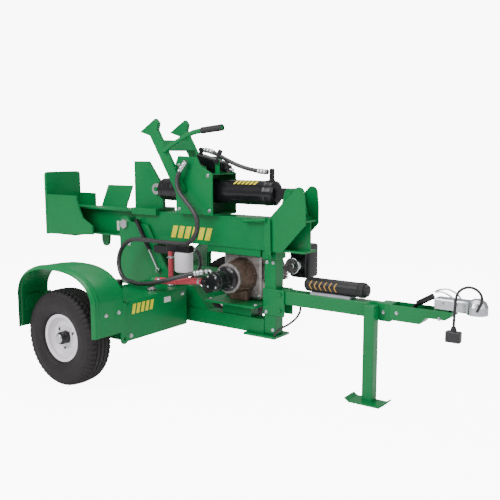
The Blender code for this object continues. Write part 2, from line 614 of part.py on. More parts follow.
RAM = [(0, PISTON_X + 0.040), (0.0509, PISTON_X + 0.040), (0.0509, PISTON_X), (ROD_R, PISTON_X), (ROD_R,
                                                                                                  0.0), (0,
                                                                                                         0.0)]
ram = turned("ram_rod", RAM, (0, 0, RAM_Z), (1, 0, 0), STEEL, 24)
weld(ram, rod("rod_eye", (ROD_PIN_X, -0.030, RAM_Z), (ROD_PIN_X, 0.030, RAM_Z), 0.030, sides=24))
cut(ram, box("fork_slot", (-0.060, 0.0205), (-0.0115, 0.0115), (RAM_Z - 0.05, RAM_Z + 0.05)))
cut(ram, drill("fork_bore", (ROD_PIN_X, 0, RAM_Z), (0, 1, 0), 0.0126, 0.2))

wedge = plate("wedge", [(EDGE_X, 0.800), (0.020, 0.800), (0.020, 0.915), (-0.087, 1.057), (EDGE_X, 1.057)],
              "XZ",
              (-0.011, 0.011), GREEN)
bevel_x = EDGE_X + 0.050
for side in (-1, 1):
    cheek = [(EDGE_X - 0.01, side * 0.03), (EDGE_X - 0.01, side * 0.0005), (EDGE_X, side * 0.0005),
             (bevel_x, side * 0.0112), (bevel_x, side * 0.03)]
    cut(wedge, plate(f"edge_grind{side}", cheek, "XY", (0.70, 1.2)))
SLIDE = [(-0.078, 0.806), (0.078, 0.806), (0.078, 0.770), (BEAM_HALF + 0.0006, 0.770),
         (BEAM_HALF + 0.0006, BEAM_Z[1] + GAP), (-BEAM_HALF - 0.0006, BEAM_Z[1] + GAP),
         (-BEAM_HALF - 0.0006, 0.770),
         (-0.078, 0.770)]
weld(wedge, plate("wedge_slide", SLIDE, "YZ", (-0.150, 0.030)))
weld(wedge, rod("wedge_pin", (ROD_PIN_X, -0.036, RAM_Z), (ROD_PIN_X, 0.036, RAM_Z), 0.012))
hang(pivot("ram_axis", (ROD_PIN_X, 0, RAM_Z)), ram, wedge)

anchor = box("cylinder_anchor", (0.780, 0.915), (-0.0585, 0.0585), (BEAM_Z[1] + GAP, 0.802), GREEN)
EAR = [(0.790, 0.800), (0.905, 0.800), *arc((BASE_PIN_X, RAM_Z), 0.030, 0, 180)]
for side in (-1, 1):
    weld(anchor, plate(f"anchor_ear{side}", EAR, "XZ", sorted((side * 0.0305, side * 0.0425))))
GUARD = [(0.757, 0.632), (0.757, 0.803), (0.885, 0.930), *arc((0.912, 0.917), 0.030, 120, 10, 5), (0.949,
                                                                                                   0.850),
         (0.949, 0.772), (0.820, 0.632)]
for side in (-1, 1):
    weld(anchor, plate(f"guard{side}", GUARD, "XZ", sorted((side * (BEAM_HALF + 0.0006), side * 0.063))))
weld(anchor, rod("base_pin", (BASE_PIN_X, -0.052, RAM_Z), (BASE_PIN_X, 0.052, RAM_Z), 0.0128))


# Valve box over the ram, with the control valve, the yoke and its handle
box_side = [(BOX_X[0], 0.792), (BOX_X[1], 0.792), (BOX_X[1], 1.000), (0.360, 1.037), (0.335, 1.082),
            (0.212, 1.088),
            (BOX_X[0], 1.050)]
valve_box = box("valve_box", (0.196, 0.432), (-0.0975, 0.0975), (BOX_Z[0], 0.797), GREEN)
weld(valve_box, box("box_top", (0.242, 0.432), (-0.0975, 0.0975), (0.994, 0.999)))
for side in (-1, 1):
    weld(valve_box, plate(f"box_side{side}", box_side, "XZ", sorted((side * (BOX_HALF - BOX_SHEET),
                                                                     side * BOX_HALF))))
cut(valve_box, drill("yoke_bore", (YOKE_X, 0, YOKE_Z), (0, 1, 0), 0.0105, 0.3, 16))

VALVE_TILT = radians(15)
along = Vector((cos(VALVE_TILT), 0, -sin(VALVE_TILT)))
valve_at = Vector((0.345, 0.012, 1.052))
valve = box("control_valve", (-0.085, 0.085), (-0.032, 0.032), (-0.025, 0.025), BLACK, bevel=0.006)
valve.rotation_euler = (0, VALVE_TILT, 0)
valve.location = valve_at
weld(valve, box("valve_foot", (0.325, 0.380), (-0.010, 0.040), (0.9993, 1.050)))
weld(valve, rod("valve_elbow", (0.272, 0.012, 1.080), (0.272, 0.012, 1.127), 0.011, sides=12))
weld(valve, rod("valve_elbow_end", (0.265, 0.0121, 1.1195), (0.2985, 0.0098, 1.1165), 0.0115, sides=12))
weld(valve, rod("valve_end", valve_at + along * 0.080, valve_at + along * 0.115, 0.022))
cut(valve, drill("spool_bore", valve_at + along * 0.115, along, 0.0098, 0.03, 16))
spool = rod("valve_spool", valve_at + along * 0.108, valve_at + along * 0.140, 0.009, STEEL, 12)
knob_lever = rod("valve_lever", (0.418, -0.040, 1.0585), (0.418, -0.056, 1.0585), 0.012, BLACK, 16)
weld(knob_lever, rod("valve_lever_arm", (0.418, -0.048, 1.0585), (0.440, -0.048, 1.1015), 0.0055, sides=12))
weld(knob_lever, rod("valve_lever_knob", (0.438, -0.048, 1.0975), (0.447, -0.048, 1.115), 0.012, sides=12))
bracket = box("valve_lever_stand", (0.405, 0.430), (-0.0395, -0.0335), (0.9965, 1.068))
weld(valve_box, bracket)
hang(pivot("valve_lever_axis", (0.418, -0.048, 1.0585)), knob_lever)
hang(pivot("valve_spool_axis", valve_at), spool)

lean = Vector((-sin(YOKE_LEAN), cos(YOKE_LEAN)))
across = Vector((cos(YOKE_LEAN), sin(YOKE_LEAN)))


def on_yoke(up, over):
    """A point of the yoke, from its pin: distance up its arms and over their width."""
    return tuple(Vector((YOKE_X, YOKE_Z)) + lean * up + across * over)


ARM = [on_yoke(-0.024, 0.006), on_yoke(-0.016, -0.016), on_yoke(0.0, -0.022), on_yoke(0.335, -0.022),
       on_yoke(0.388, -0.071), on_yoke(0.390, 0.055), on_yoke(0.360, 0.060), on_yoke(0.335, 0.034),
       on_yoke(0.0, 0.034), on_yoke(-0.016, 0.028)]
yoke = plate("yoke", ARM, "XZ", (-0.128, -0.104), GREEN)
weld(yoke, plate("yoke_left_arm", ARM, "XZ", (0.104, 0.128)))
BRIDGE = [on_yoke(0.214, 0.026), on_yoke(0.276, 0.026), on_yoke(0.276, 0.033), on_yoke(0.214, 0.033)]
weld(yoke, plate("yoke_bridge", BRIDGE, "XZ", (-0.106, 0.106)))
for side in (-1, 1):
    weld(yoke, rod(f"yoke_stub{side}", (YOKE_X, side * 0.106, YOKE_Z), (YOKE_X, side * 0.0945, YOKE_Z),
                   0.0098))
HANDLE_Y = -0.1412
handle_line = [(0.150, HANDLE_Y, 1.110), (0.200, HANDLE_Y, 1.137), (0.260, HANDLE_Y, 1.167),
               (0.310, HANDLE_Y, 1.190), (0.350, HANDLE_Y, 1.203), (0.400, HANDLE_Y, 1.211), (0.527, HANDLE_Y, 1.2235)]
weld(yoke, settled(tube("yoke_handle", handle_line, 0.0123, roundness=3)))
weld(yoke, rod("handle_bolt", (0.158, -0.120, 1.1145), (0.158, -0.1412, 1.1145), 0.009))
grip_way = (Vector(handle_line[-1]) - Vector(handle_line[-2])).normalized()
grip = turned("handle_grip", [(0.0130, 0.125), (0.0165, 0.125), (0.0165, 0.118), (0.0165, 0.004), (0.0165,
                                                                                                   0.0),
                              (0.0130, 0.0)], Vector(handle_line[-2]) + grip_way * 0.006, grip_way, RUBBER,
                              16,
              closed=True)
hang(pivot("yoke_axis", (YOKE_X, 0, YOKE_Z)), yoke, grip)

base_line = [(0.2992, 0.0098, 1.1163), (0.325, 0.008, 1.1135), (0.353, 0.006, 1.106),
             (0.420, 0.002, 1.080), (0.470, 0.0, 1.059), (0.530, 0.0, 1.038),
             (0.592, 0.0, 1.023), (0.660, 0.0, 1.013), (0.6985, 0.0, 1.0115)]
base_hose = tube("base_hose", smooth(base_line, 30), 0.0105, RUBBER)

# All that tips with the beam hangs from the tilt pin's axis
TIPPING = ("cradle_axis", "ram_axis", "valve_lever_axis", "valve_spool_axis", "yoke_axis")
hang(pivot("tilt_axis", (PIVOT_X, 0, PIVOT_Z)), beam, foot, barrel, gland, anchor, valve_box, valve,
     base_hose,
     *[bpy.data.objects[name] for name in TIPPING])


# Lift strut between the tower and the beam
way = (STRUT_TOP - STRUT_FOOT).normalized()
strut_rod = rod("strut_rod", STRUT_FOOT + way * 0.006, STRUT_FOOT + way * 0.285, 0.0050, STEEL, 12)
EYE = ((0, -0.0055, 0), (0, 0.0055, 0))
weld(strut_rod, rod("strut_rod_eye", *[STRUT_FOOT + Vector(e) for e in EYE], 0.013))
cut(strut_rod, drill("strut_rod_bore", STRUT_FOOT, (0, 1, 0), 0.0076, 0.05, 16))
weld(bpy.data.objects["right_tower_plate"], rod("strut_foot_stud", (STRUT_FOOT.x, -0.068, STRUT_FOOT.z),
                                                (STRUT_FOOT.x, -0.092, STRUT_FOOT.z), 0.0070))
reach = (STRUT_TOP - STRUT_FOOT).length
strut_tube = turned("strut_tube", [(0, reach - 0.004), (0.011, reach - 0.004), (0.011, reach - 0.175),
                                   (0.0062, reach - 0.175), (0.0062, reach - 0.008), (0, reach - 0.008)],
                    STRUT_FOOT, way, BLACK, 16)
weld(strut_tube, rod("strut_tube_eye", *[STRUT_TOP + Vector(e) for e in EYE], 0.0125))
hang(pivot("strut_axis", STRUT_FOOT), strut_rod, strut_tube)

# Latch that holds the beam down on the post
LATCH = [(0.734, 0.598), (0.766, 0.598), (0.762, 0.785), (0.750, 0.799), (0.730, 0.797), (0.726, 0.700)]
latch = plate("beam_latch", LATCH, "XZ", (-0.0755, -0.0695), GREEN)
cut(latch, drill("latch_bore", (LATCH_X, LATCH_Y, LATCH_Z), (0, 1, 0), 0.0075, 0.05, 16))
weld(latch, rod("latch_grip", (0.742, GRIP_Y, 0.787), (0.610, GRIP_Y, 0.775), 0.011, sides=12))
hang(pivot("latch_axis", (LATCH_X, LATCH_Y, LATCH_Z)), latch)


# Power pack
engine_plate = box("engine_plate", (0.385, 0.695), (-0.110, 0.330), PLATE_Z, GREEN)
weld(engine_plate, box("engine_riser", (0.440, 0.620), (-0.030, 0.030), (RAIL_Z[1] + GAP,
                                                                         PLATE_Z[0] + 0.003)))
BELL = [(0.030, 0.120), (0.066, 0.120), (0.072, 0.112), (0.082, 0.050), (0.090, 0.012), (0.090, 0.0),
        (0.078, 0.0),
        (0.070, 0.050), (0.060, 0.108), (0.030, 0.108)]
bell = turned("bell_housing", BELL, (CRANK_X, 0.020, CRANK_Z), (0, -1, 0), BRONZE, 20, closed=True)
weld(bell, box("bell_foot", (CRANK_X - 0.055, CRANK_X + 0.055), (-0.020, 0.018), (PLATE_Z[1] + GAP,
                                                                                  CRANK_Z - 0.072)))
SHAFT = [(0, 0.136), (SPINDLE_R, 0.136), (SPINDLE_R, 0.090), (0.034, 0.090), (0.034, 0.030), (SPINDLE_R,
                                                                                              0.030),
         (SPINDLE_R, 0.0), (0, 0.0)]
shaft = turned("drive_shaft", SHAFT, (CRANK_X, 0.0180, CRANK_Z), (0, -1, 0), STEEL, 16)
hang(pivot("drive_shaft_axis", (CRANK_X, 0, CRANK_Z)), shaft)
PUMP = [(0, 0.130), (0.040, 0.130), (0.045, 0.122), (0.047, 0.100), (0.047, 0.020), (0.066, 0.018), (0.066,
                                                                                                     0.0),
        (SPINDLE_R + 0.001, 0.0), (SPINDLE_R + 0.001, 0.022), (0, 0.022)]
pump = turned("hydraulic_pump", PUMP, (CRANK_X, -0.1003, CRANK_Z), (0, -1, 0), BLACK, 24)
INLET = Vector((0.440, -0.190, 0.472))
OUTLET = Vector((0.470, -0.2075, 0.5275))
weld(pump, rod("pump_inlet", (0.510, -0.190, 0.472), INLET, 0.0195))
weld(pump, rod("pump_outlet", (0.505, -0.200, 0.490), (0.505, -0.200, 0.538), 0.013, sides=12))
weld(pump, rod("pump_outlet_elbow", (0.507, -0.1996, 0.5301), OUTLET, 0.0125, sides=12))

block = box("engine_block", (0.410, 0.650), (0.0203, 0.200), (PLATE_Z[1] + GAP, 0.598), ALLOY, bevel=0.015)
head = box("engine_head", (-0.050, 0.050), (-0.045, 0.045), (-0.055, 0.055))
head.rotation_euler = (0, radians(-25), 0)
head.location = (0.665, 0.090, 0.520)
cut(block, drill("crank_bore", (CRANK_X, 0.0203, CRANK_Z), (0, 1, 0), SPINDLE_R + 0.001, 0.02, 16))
weld(block, head)
cover = turned("engine_cover", [(0, 0.100), (0.060, 0.100), (0.095, 0.080), (0.115, 0.040), (0.118, 0.0),
                                (0, 0.0)],
               (CRANK_X, 0.2003, CRANK_Z + 0.005), (0, 1, 0), BLACK, 20)
weld(cover, box("fuel_tank", (0.420, 0.650), (0.072, 0.290), (0.600, 0.740), bevel=0.020))
air_cleaner = box("air_cleaner", (0.705, 0.820), (0.185, 0.300), (0.470, 0.640), BLACK, bevel=0.020)
weld(air_cleaner, rod("muffler", (0.750, 0.200, 0.535), (0.750, 0.140, 0.535), 0.042, sides=20))

# Oil filter and the low-pressure pipes
FILTER_X, FILTER_Y = 0.241, -0.100
head_box = box("filter_head", (0.138, 0.292), (-0.122, -0.078), (0.5935, 0.630), BLACK, bevel=0.005)
weld(head_box, box("filter_arm", (0.010, 0.160), (-0.0785, -0.0703), (0.5700, 0.6100)))
oil_filter = turned("oil_filter", [(0, 0.105), (0.044, 0.105), (0.048, 0.101), (0.048, 0.008), (0.042,
                                                                                                0.0), (0,
                                                                                                       0.0)],
                    (FILTER_X, FILTER_Y, 0.488), (0, 0, 1), WHITE, 24)
return_pipe = rod("return_pipe", (*RETURN_PORT, 0.4163), (*RETURN_PORT, 0.5932), 0.0135, RED, 16)
suction_line = [(0.1807, -0.2442, 0.4595), (0.205, -0.2396, 0.4600), (0.250, -0.230, 0.461), (0.320,
                                                                                              -0.210, 0.465),
                (0.385, -0.193, 0.470), (0.415, -0.190, 0.472), (0.4395, -0.190, 0.472)]
suction_hose = tube("suction_hose", smooth(suction_line, 28), 0.0165, RED)

# Pressure and return hoses, which loop past the tilt pin so that the beam can stand up
pressure_line = [(0.286, -0.125, 1.062), (0.256, -0.137, 1.0135), (0.2435, -0.145, 0.975),
                 (0.2477, -0.150, 0.935), (0.268, -0.153, 0.900), (0.311, -0.155, 0.859),
                 (0.3545, -0.157, 0.817), (0.377, -0.159, 0.784), (0.385, -0.161, 0.745),
                 (0.3764, -0.163, 0.7043), (0.352, -0.165, 0.6707), (0.316, -0.165, 0.650),
                 (0.270, -0.165, 0.645), (0.200, -0.165, 0.645), (0.120, -0.165, 0.646),
                 (0.040, -0.165, 0.648), (-0.033, -0.168, 0.6465), (-0.0773, -0.173, 0.637),
                 (-0.114, -0.179, 0.6104), (-0.1367, -0.186, 0.5712), (-0.1414, -0.194, 0.5261),
                 (-0.1274, -0.203, 0.483), (-0.0971, -0.214, 0.4493), (-0.0557, -0.228, 0.4345),
                 (0.000, -0.247, 0.4340), (0.065, -0.264, 0.4325), (0.135, -0.277, 0.4415),
                 (0.205, -0.280, 0.455), (0.280, -0.272, 0.476), (0.350, -0.250, 0.498),
                 (0.410, -0.227, 0.5145), (0.4683, -0.2081, 0.5272)]
pressure_hose = tube("pressure_hose", smooth(pressure_line, 62), 0.0115, RUBBER)
return_line = [(0.300, 0.118, 0.980), (0.310, 0.128, 0.910), (0.314, 0.140, 0.830),
               (0.298, 0.148, 0.750), (0.250, 0.152, 0.688), (0.170, 0.151, 0.652),
               (0.085, 0.143, 0.635), (0.005, 0.130, 0.617), (-0.065, 0.117, 0.582),
               (-0.100, 0.109, 0.514), (-0.082, 0.105, 0.440), (-0.020, 0.102, 0.398),
               (0.055, 0.100, 0.389), (0.125, 0.094, 0.412), (0.182, 0.082, 0.456),
               (0.224, 0.060, 0.508), (0.246, 0.022, 0.562), (0.251, -0.022, 0.596),
               (0.252, -0.0590, 0.6127), (0.252, -0.0764, 0.613)]
return_hose = tube("return_hose", smooth(return_line, 46), 0.0095, RUBBER)


# The whole machine hangs from one empty, which puts its origin on the ground under its middle
root = pivot("log_splitter", (0, 0, 0))
hang(root, *[obj for group in (PARTS,
                               TOOLS) for obj in group.objects if obj.parent is None and obj is not root])
root.location.x = -CENTRE_X
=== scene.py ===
import json
from math import radians

import bmesh
import bpy
import numpy as np
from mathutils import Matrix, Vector


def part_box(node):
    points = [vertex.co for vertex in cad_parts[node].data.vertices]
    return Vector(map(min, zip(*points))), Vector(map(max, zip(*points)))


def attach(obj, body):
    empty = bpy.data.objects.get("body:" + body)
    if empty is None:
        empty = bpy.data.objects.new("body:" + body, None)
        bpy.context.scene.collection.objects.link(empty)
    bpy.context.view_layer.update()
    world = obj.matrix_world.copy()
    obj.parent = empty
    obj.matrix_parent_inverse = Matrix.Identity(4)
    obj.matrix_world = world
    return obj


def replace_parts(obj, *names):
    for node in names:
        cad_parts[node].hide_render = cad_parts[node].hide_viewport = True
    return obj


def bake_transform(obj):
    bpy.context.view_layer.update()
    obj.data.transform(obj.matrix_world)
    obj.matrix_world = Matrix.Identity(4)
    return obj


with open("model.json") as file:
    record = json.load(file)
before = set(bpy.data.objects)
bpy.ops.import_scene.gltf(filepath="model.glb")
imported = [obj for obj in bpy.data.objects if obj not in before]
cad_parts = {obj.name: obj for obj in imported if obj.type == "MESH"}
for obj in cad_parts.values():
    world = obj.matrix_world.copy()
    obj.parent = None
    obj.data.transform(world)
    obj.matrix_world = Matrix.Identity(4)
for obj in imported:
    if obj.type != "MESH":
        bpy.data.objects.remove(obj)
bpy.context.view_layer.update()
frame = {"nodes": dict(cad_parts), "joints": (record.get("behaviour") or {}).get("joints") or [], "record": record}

# The camera stands ahead of the machine on its right, at about chest height, with a 50 mm lens.
# Everything along the machine is measured from the wheel axle, and AXLE is where that lies in the frame.
AXLE = next(joint["pos_m"][0] for joint in frame["joints"] if joint["name"] == "right_wheel_spin")
camera = bpy.data.objects.new("camera", bpy.data.cameras.new("camera"))
bpy.context.scene.collection.objects.link(camera)
camera.location = (2.5846 + AXLE, -2.8106, 1.1081)
camera.rotation_euler = (radians(81.95), 0, radians(35.338))
camera.data.lens = 50
camera.data.sensor_width = 36
bpy.context.scene.camera = camera


# Hydraulic hoses: black wire-braided rubber, 23 and 19 mm across, crimped into plated ends.
# They loop past the tilt pin with enough length for the beam to stand up.
def finish(name, colour, second, roughness, metallic=0.0, coat=0.0, grain=30.0, relief=0.0004, edge=0.0012,
           fleck=0.5):
    """A finish whose colour drifts between two shades over a noise pattern, with a fine relief and eased
    edges."""
    made = bpy.data.materials.new(name)
    made.use_nodes = True
    tree = made.node_tree
    shader = tree.nodes["Principled BSDF"]
    shader.inputs["Metallic"].default_value = metallic
    shader.inputs["Coat Weight"].default_value = coat
    shader.inputs["Coat Roughness"].default_value = 0.08
    place = tree.nodes.new("ShaderNodeTexCoord")
    drift = tree.nodes.new("ShaderNodeTexNoise")
    drift.inputs["Scale"].default_value = grain
    drift.inputs["Detail"].default_value = 6
    blend = tree.nodes.new("ShaderNodeValToRGB")
    blend.color_ramp.elements[0].position = 0.5 - fleck / 2
    blend.color_ramp.elements[1].position = 0.5 + fleck / 2
    blend.color_ramp.elements[0].color = (*second, 1)
    blend.color_ramp.elements[1].color = (*colour, 1)
    sheen = tree.nodes.new("ShaderNodeMapRange")
    sheen.inputs["To Min"].default_value = max(roughness - 0.07, 0.04)
    sheen.inputs["To Max"].default_value = roughness + 0.09
    fine = tree.nodes.new("ShaderNodeTexNoise")
    fine.inputs["Scale"].default_value = grain * 14
    fine.inputs["Detail"].default_value = 3
    bump = tree.nodes.new("ShaderNodeBump")
    bump.inputs["Distance"].default_value = relief
    bump.inputs["Strength"].default_value = 0.5
    eased = tree.nodes.new("ShaderNodeBevel")
    eased.inputs["Radius"].default_value = edge
    eased.samples = 4
    for source, target in (
        (place.outputs["Object"], drift.inputs["Vector"]), (place.outputs["Object"], fine.inputs["Vector"]),
        (drift.outputs["Fac"], blend.inputs["Fac"]), (blend.outputs["Color"], shader.inputs["Base Color"]),
        (drift.outputs["Fac"], sheen.inputs["Value"]), (sheen.outputs["Result"], shader.inputs["Roughness"]),
        (fine.outputs["Fac"], bump.inputs["Height"]), (eased.outputs["Normal"], bump.inputs["Normal"]),
        (bump.outputs["Normal"], shader.inputs["Normal"]),
    ):
        tree.links.new(source, target)
    return made


def piece(name, points, faces, material, body, smooth=True):
    """A mesh from points and faces, with its material, shaded smooth but for its sharp edges, riding on a
    body."""
    mesh = bpy.data.meshes.new(name)
    mesh.from_pydata(np.asarray(points, float).reshape(-1, 3).tolist(), [], [list(face) for face in faces])
    mesh.validate()
    outward = bmesh.new()
    outward.from_mesh(mesh)
    bmesh.ops.recalc_face_normals(outward, faces=outward.faces)
    outward.to_mesh(mesh)
    outward.free()
    mesh.materials.append(material)
    if smooth:
        mesh.shade_smooth()
        mesh.set_sharp_from_angle(angle=radians(38))
    made = bpy.data.objects.new(name, mesh)
    bpy.context.scene.collection.objects.link(made)
    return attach(made, body) if body else made


def grid_faces(rows, columns, closed_rows=False, caps=True):
    """Four-sided faces over a grid of points whose columns run round, with its two ends filled or its rows
    joined up."""
    i, j = np.meshgrid(np.arange(rows if closed_rows else rows - 1), np.arange(columns), indexing="ij")
    after, beside = (i + 1) % rows, (j + 1) % columns
    quads = np.stack([i * columns + j, i * columns + beside, after * columns + beside,
                      after * columns + j], -1)
    faces = quads.reshape(-1, 4).tolist()
    if caps and not closed_rows:
        faces += [list(range(columns))[::-1], list(range((rows - 1) * columns, rows * columns))]
    return faces


def walk(points, count):
    """An even walk along a smooth curve: each stretch is the cubic through its two ends that takes its
    slopes there
    from the points on either side, and the curve is then read at equal lengths."""
    p = np.asarray(points, float)
    p = np.vstack([2 * p[0] - p[1], p, 2 * p[-1] - p[-2]])
    t = np.linspace(0, 1, 20, endpoint=False)[None, :, None]
    a, b, c, d = p[:-3, None], p[1:-2, None], p[2:-1, None], p[3:, None]
    fine = 0.5 * (2 * b + (c - a) * t + (2 * a - 5 * b + 4 * c - d) * t**2 + (3 * b - a - 3 * c + d) * t**3)
    fine = np.vstack([fine.reshape(-1, 3), p[-2]])
    along = np.concatenate([[0], np.cumsum(np.linalg.norm(np.diff(fine, axis=0), axis=1))])
    return np.stack([np.interp(np.linspace(0, along[-1], count), along, fine[:, k]) for k in range(3)], 1)


def carried(path, radius, sides=20):
    """Rings of points carried along a path: each ring is turned from the last by no more than the path
    turns."""
    path = np.asarray(path, float)
    ahead = np.gradient(path, axis=0)
    ahead /= np.linalg.norm(ahead, axis=1)[:, None]
    side = np.cross(ahead[0], (0, 0, 1) if abs(ahead[0][2]) < 0.9 else (0, 1, 0))
    sideways = []
    for way in ahead:
        side = side - way * (side @ way)
        side = side / np.linalg.norm(side)
        sideways.append(side)
    sideways = np.array(sideways)[:, None]
    up = np.cross(ahead[:, None], sideways)
    turn = np.linspace(0, 2 * np.pi, sides, endpoint=False)[None, :, None]
    return path[:, None] + np.broadcast_to(radius, len(path))[:, None, None] * (
        np.cos(turn) * sideways + np.sin(turn) * up)


def tube(name, path, radius, material, body, sides=20):
    """A round section carried along a path, closed at both ends."""
    rings = carried(path, radius, sides)
    return piece(name, rings, grid_faces(len(path), sides), material, body)


def ahead_of_axle(points):
    """Points given from the wheel axle, in the frame."""
    return np.asarray(points, float) + np.array([AXLE, 0, 0])


def braided(name):
    """Hose rubber with a fine noise relief; the wrapped cloth's diagonal weave is left out."""
    made = finish(name, (0.030, 0.028, 0.031), (0.012, 0.011, 0.013), 0.42, grain=60, relief=0.0006)
    shader = made.node_tree.nodes["Principled BSDF"]
    shader.inputs["Specular IOR Level"].default_value = 0.6
    return made


def cord(name, path, diameter, far_end, material, nodes, body=None, stiffness="stiff", lay="hanging", **more):
    """A hose or cable along its whole path: a round tube that stands in for the CAD nodes it hides."""
    made = tube(name, path, diameter / 2, material, body, sides=18)
    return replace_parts(made, *nodes)


HOSE = braided("hose_rubber")
PLATED = finish("zinc_plating", (0.62, 0.63, 0.66), (0.44, 0.45, 0.48), 0.26, 1.0, grain=90, relief=0.0002)
pressure_line = ahead_of_axle([
    (0.286, -0.125, 1.062), (0.256, -0.137, 1.0135), (0.2435, -0.145, 0.975), (0.2477, -0.150, 0.935),
    (0.268, -0.153, 0.900), (0.311, -0.155, 0.859), (0.3545, -0.157, 0.817), (0.377, -0.159, 0.784),
    (0.385, -0.161, 0.745), (0.3764, -0.163, 0.7043), (0.352, -0.165, 0.6707), (0.316, -0.165, 0.650),
    (0.270, -0.165, 0.645), (0.200, -0.165, 0.645), (0.120, -0.165, 0.646), (0.040, -0.165, 0.648),
    (-0.033, -0.168, 0.6465), (-0.0773, -0.173, 0.637), (-0.114, -0.179, 0.6104), (-0.1367, -0.186, 0.5712),
    (-0.1414, -0.194, 0.5261), (-0.1274, -0.203, 0.483), (-0.0971, -0.214, 0.4493), (-0.0557, -0.228, 0.4345),
    (0.000, -0.247, 0.4340), (0.065, -0.264, 0.4325), (0.135, -0.277, 0.4415), (0.205, -0.280, 0.455),
    (0.280, -0.272, 0.476), (0.350, -0.250, 0.498), (0.410, -0.227, 0.5145), (0.4683, -0.2081, 0.5272)])
return_line = ahead_of_axle([
    (0.300, 0.118, 0.980), (0.310, 0.128, 0.910), (0.314, 0.140, 0.830), (0.298, 0.148, 0.750),
    (0.250, 0.152, 0.688), (0.170, 0.151, 0.652), (0.085, 0.143, 0.635), (0.005, 0.130, 0.617),
    (-0.065, 0.117, 0.582), (-0.100, 0.109, 0.514), (-0.082, 0.105, 0.440), (-0.020, 0.102, 0.398),
    (0.055, 0.100, 0.389), (0.125, 0.094, 0.412), (0.182, 0.082, 0.456), (0.224, 0.060, 0.508),
    (0.246, 0.022, 0.562), (0.251, -0.022, 0.596), (0.252, -0.0590, 0.6127), (0.252, -0.0764, 0.613)])
base_line = ahead_of_axle([
    (0.2992, 0.0098, 1.1163), (0.325, 0.008, 1.1135), (0.353, 0.006, 1.106), (0.420, 0.002, 1.080),
    (0.470, 0.0, 1.059), (0.530, 0.0, 1.038), (0.592, 0.0, 1.023), (0.660, 0.0, 1.013),
    (0.6985, 0.0, 1.0115)])
for name, line, count, across in (("pressure_hose", pressure_line, 220, 0.023),
                                  ("return_hose", return_line, 180, 0.019)):
    hose = cord(f"{name}_rubber", walk(line, count), across, "object", HOSE, [name])
    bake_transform(hose)
base = cord("base_hose_rubber", walk(base_line, 90), 0.021, "object", HOSE, ["base_hose"], "beam", lay="taut")


def crimp(name, line, start, reach, radius, body):
    """A crimped collar on a hose's end: a plated sleeve whose radius dips in three pressed rings and narrows at
    both ends; the nut before it is left out."""
    path = walk(line, 400)
    along = np.concatenate([[0], np.cumsum(np.linalg.norm(np.diff(path, axis=0), axis=1))])
    at = np.linspace(start, start + reach, 60)
    stretch = np.stack([np.interp(at, along, path[:, k]) for k in range(3)], 1)
    share = np.linspace(0, 1, 60)
    swell = radius * (1.22 + 0.07 * np.cos(share * 6 * np.pi)) * np.minimum(1,
                                                                            0.84 + 6 * np.minimum(share,
                                                                                                  1 - share))
    return tube(name, stretch, swell, PLATED, body, sides=28)


for name, line, radius, ends in (
        ("pressure", pressure_line, 0.0115, ("beam", "frame")),
        ("return", return_line, 0.0095, ("beam", "frame")),
        ("base", base_line, 0.0105, ("beam", "beam"))):
    crimp(f"{name}_hose_upper_crimp", line, 0.002, 0.062, radius, ends[0])
    crimp(f"{name}_hose_lower_crimp", line[::-1], 0.002, 0.055, radius, ends[1])


# Trailer light cable: a black 11 mm lead that loops up from the coupler to a seven-pin plug, and the harness
# that drops from under the tongue to the skid plate. Both are jacketed in soft vinyl.
VINYL = finish("vinyl_jacket", (0.022, 0.022, 0.025), (0.010, 0.010, 0.012), 0.38, grain=50, relief=0.0003)
light_path = walk(ahead_of_axle([
    (1.748, -0.0500, 0.468), (1.7557, -0.0504, 0.4848), (1.7635, -0.0516, 0.5017), (1.7676, -0.0543, 0.5253),
    (1.7598, -0.0582, 0.5479), (1.7418, -0.0630, 0.5638), (1.7184, -0.0684, 0.5690),
    (1.6955, -0.0742, 0.5620),
    (1.6789, -0.0800, 0.5447), (1.6728, -0.0856, 0.5215), (1.6728, -0.0904, 0.4984),
    (1.6728, -0.0944, 0.4753),
    (1.6728, -0.0975, 0.4522), (1.6728, -0.0994, 0.4291), (1.6728, -0.1000, 0.406)]), 120)
light = cord("light_cable_jacket", light_path, 0.011, "plug", VINYL, ["light_cable"], "frame", "medium",
             with_pieces=[frame["nodes"]["light_plug"]])
harness_path = walk(ahead_of_axle([
    (0.898, -0.012, 0.3745), (0.894, -0.014, 0.345), (0.876, -0.022, 0.312), (0.845, -0.034, 0.283),
    (0.812, -0.046, 0.262), (0.787, -0.054, 0.240), (0.7748, -0.0578, 0.2178)]), 80)
harness = cord("light_harness_jacket", harness_path, 0.011, "object", VINYL, ["light_harness"], "frame",
               "medium")


# The welded frame, beam and ram fittings keep their CAD shapes, and take their painted and plated finishes
# here.
# The green is a glossy machinery enamel with a faint orange peel and rounded edges.
GREEN = finish("green_enamel", (0.0, 0.185, 0.048), (0.0, 0.150, 0.038), 0.34, coat=0.06, grain=5,
               relief=0.0003, edge=0.003)
BLACK = finish("black_enamel", (0.012, 0.011, 0.013), (0.006, 0.006, 0.008), 0.24, coat=0.15, grain=8,
               relief=0.0003, edge=0.002)
WHITE = finish("white_enamel", (0.80, 0.76, 0.81), (0.72, 0.68, 0.74), 0.34, coat=0.2, grain=9, relief=0.0002)
CHROME = finish("ground_chrome", (0.76, 0.76, 0.79), (0.62, 0.62, 0.65), 0.14, 1.0, grain=40, relief=0.0001)
CAST = finish("cast_aluminium", (0.46, 0.43, 0.43), (0.22, 0.19, 0.19), 0.42, 0.85, grain=45, relief=0.0016)
DARK_CAST = finish("dark_casting", (0.26, 0.17, 0.14), (0.12, 0.07, 0.055), 0.42, 0.6, grain=45,
                   relief=0.0014)
PLASTIC = finish("moulded_plastic", (0.020, 0.020, 0.022), (0.010, 0.010, 0.011), 0.42, grain=40,
                 relief=0.0008)
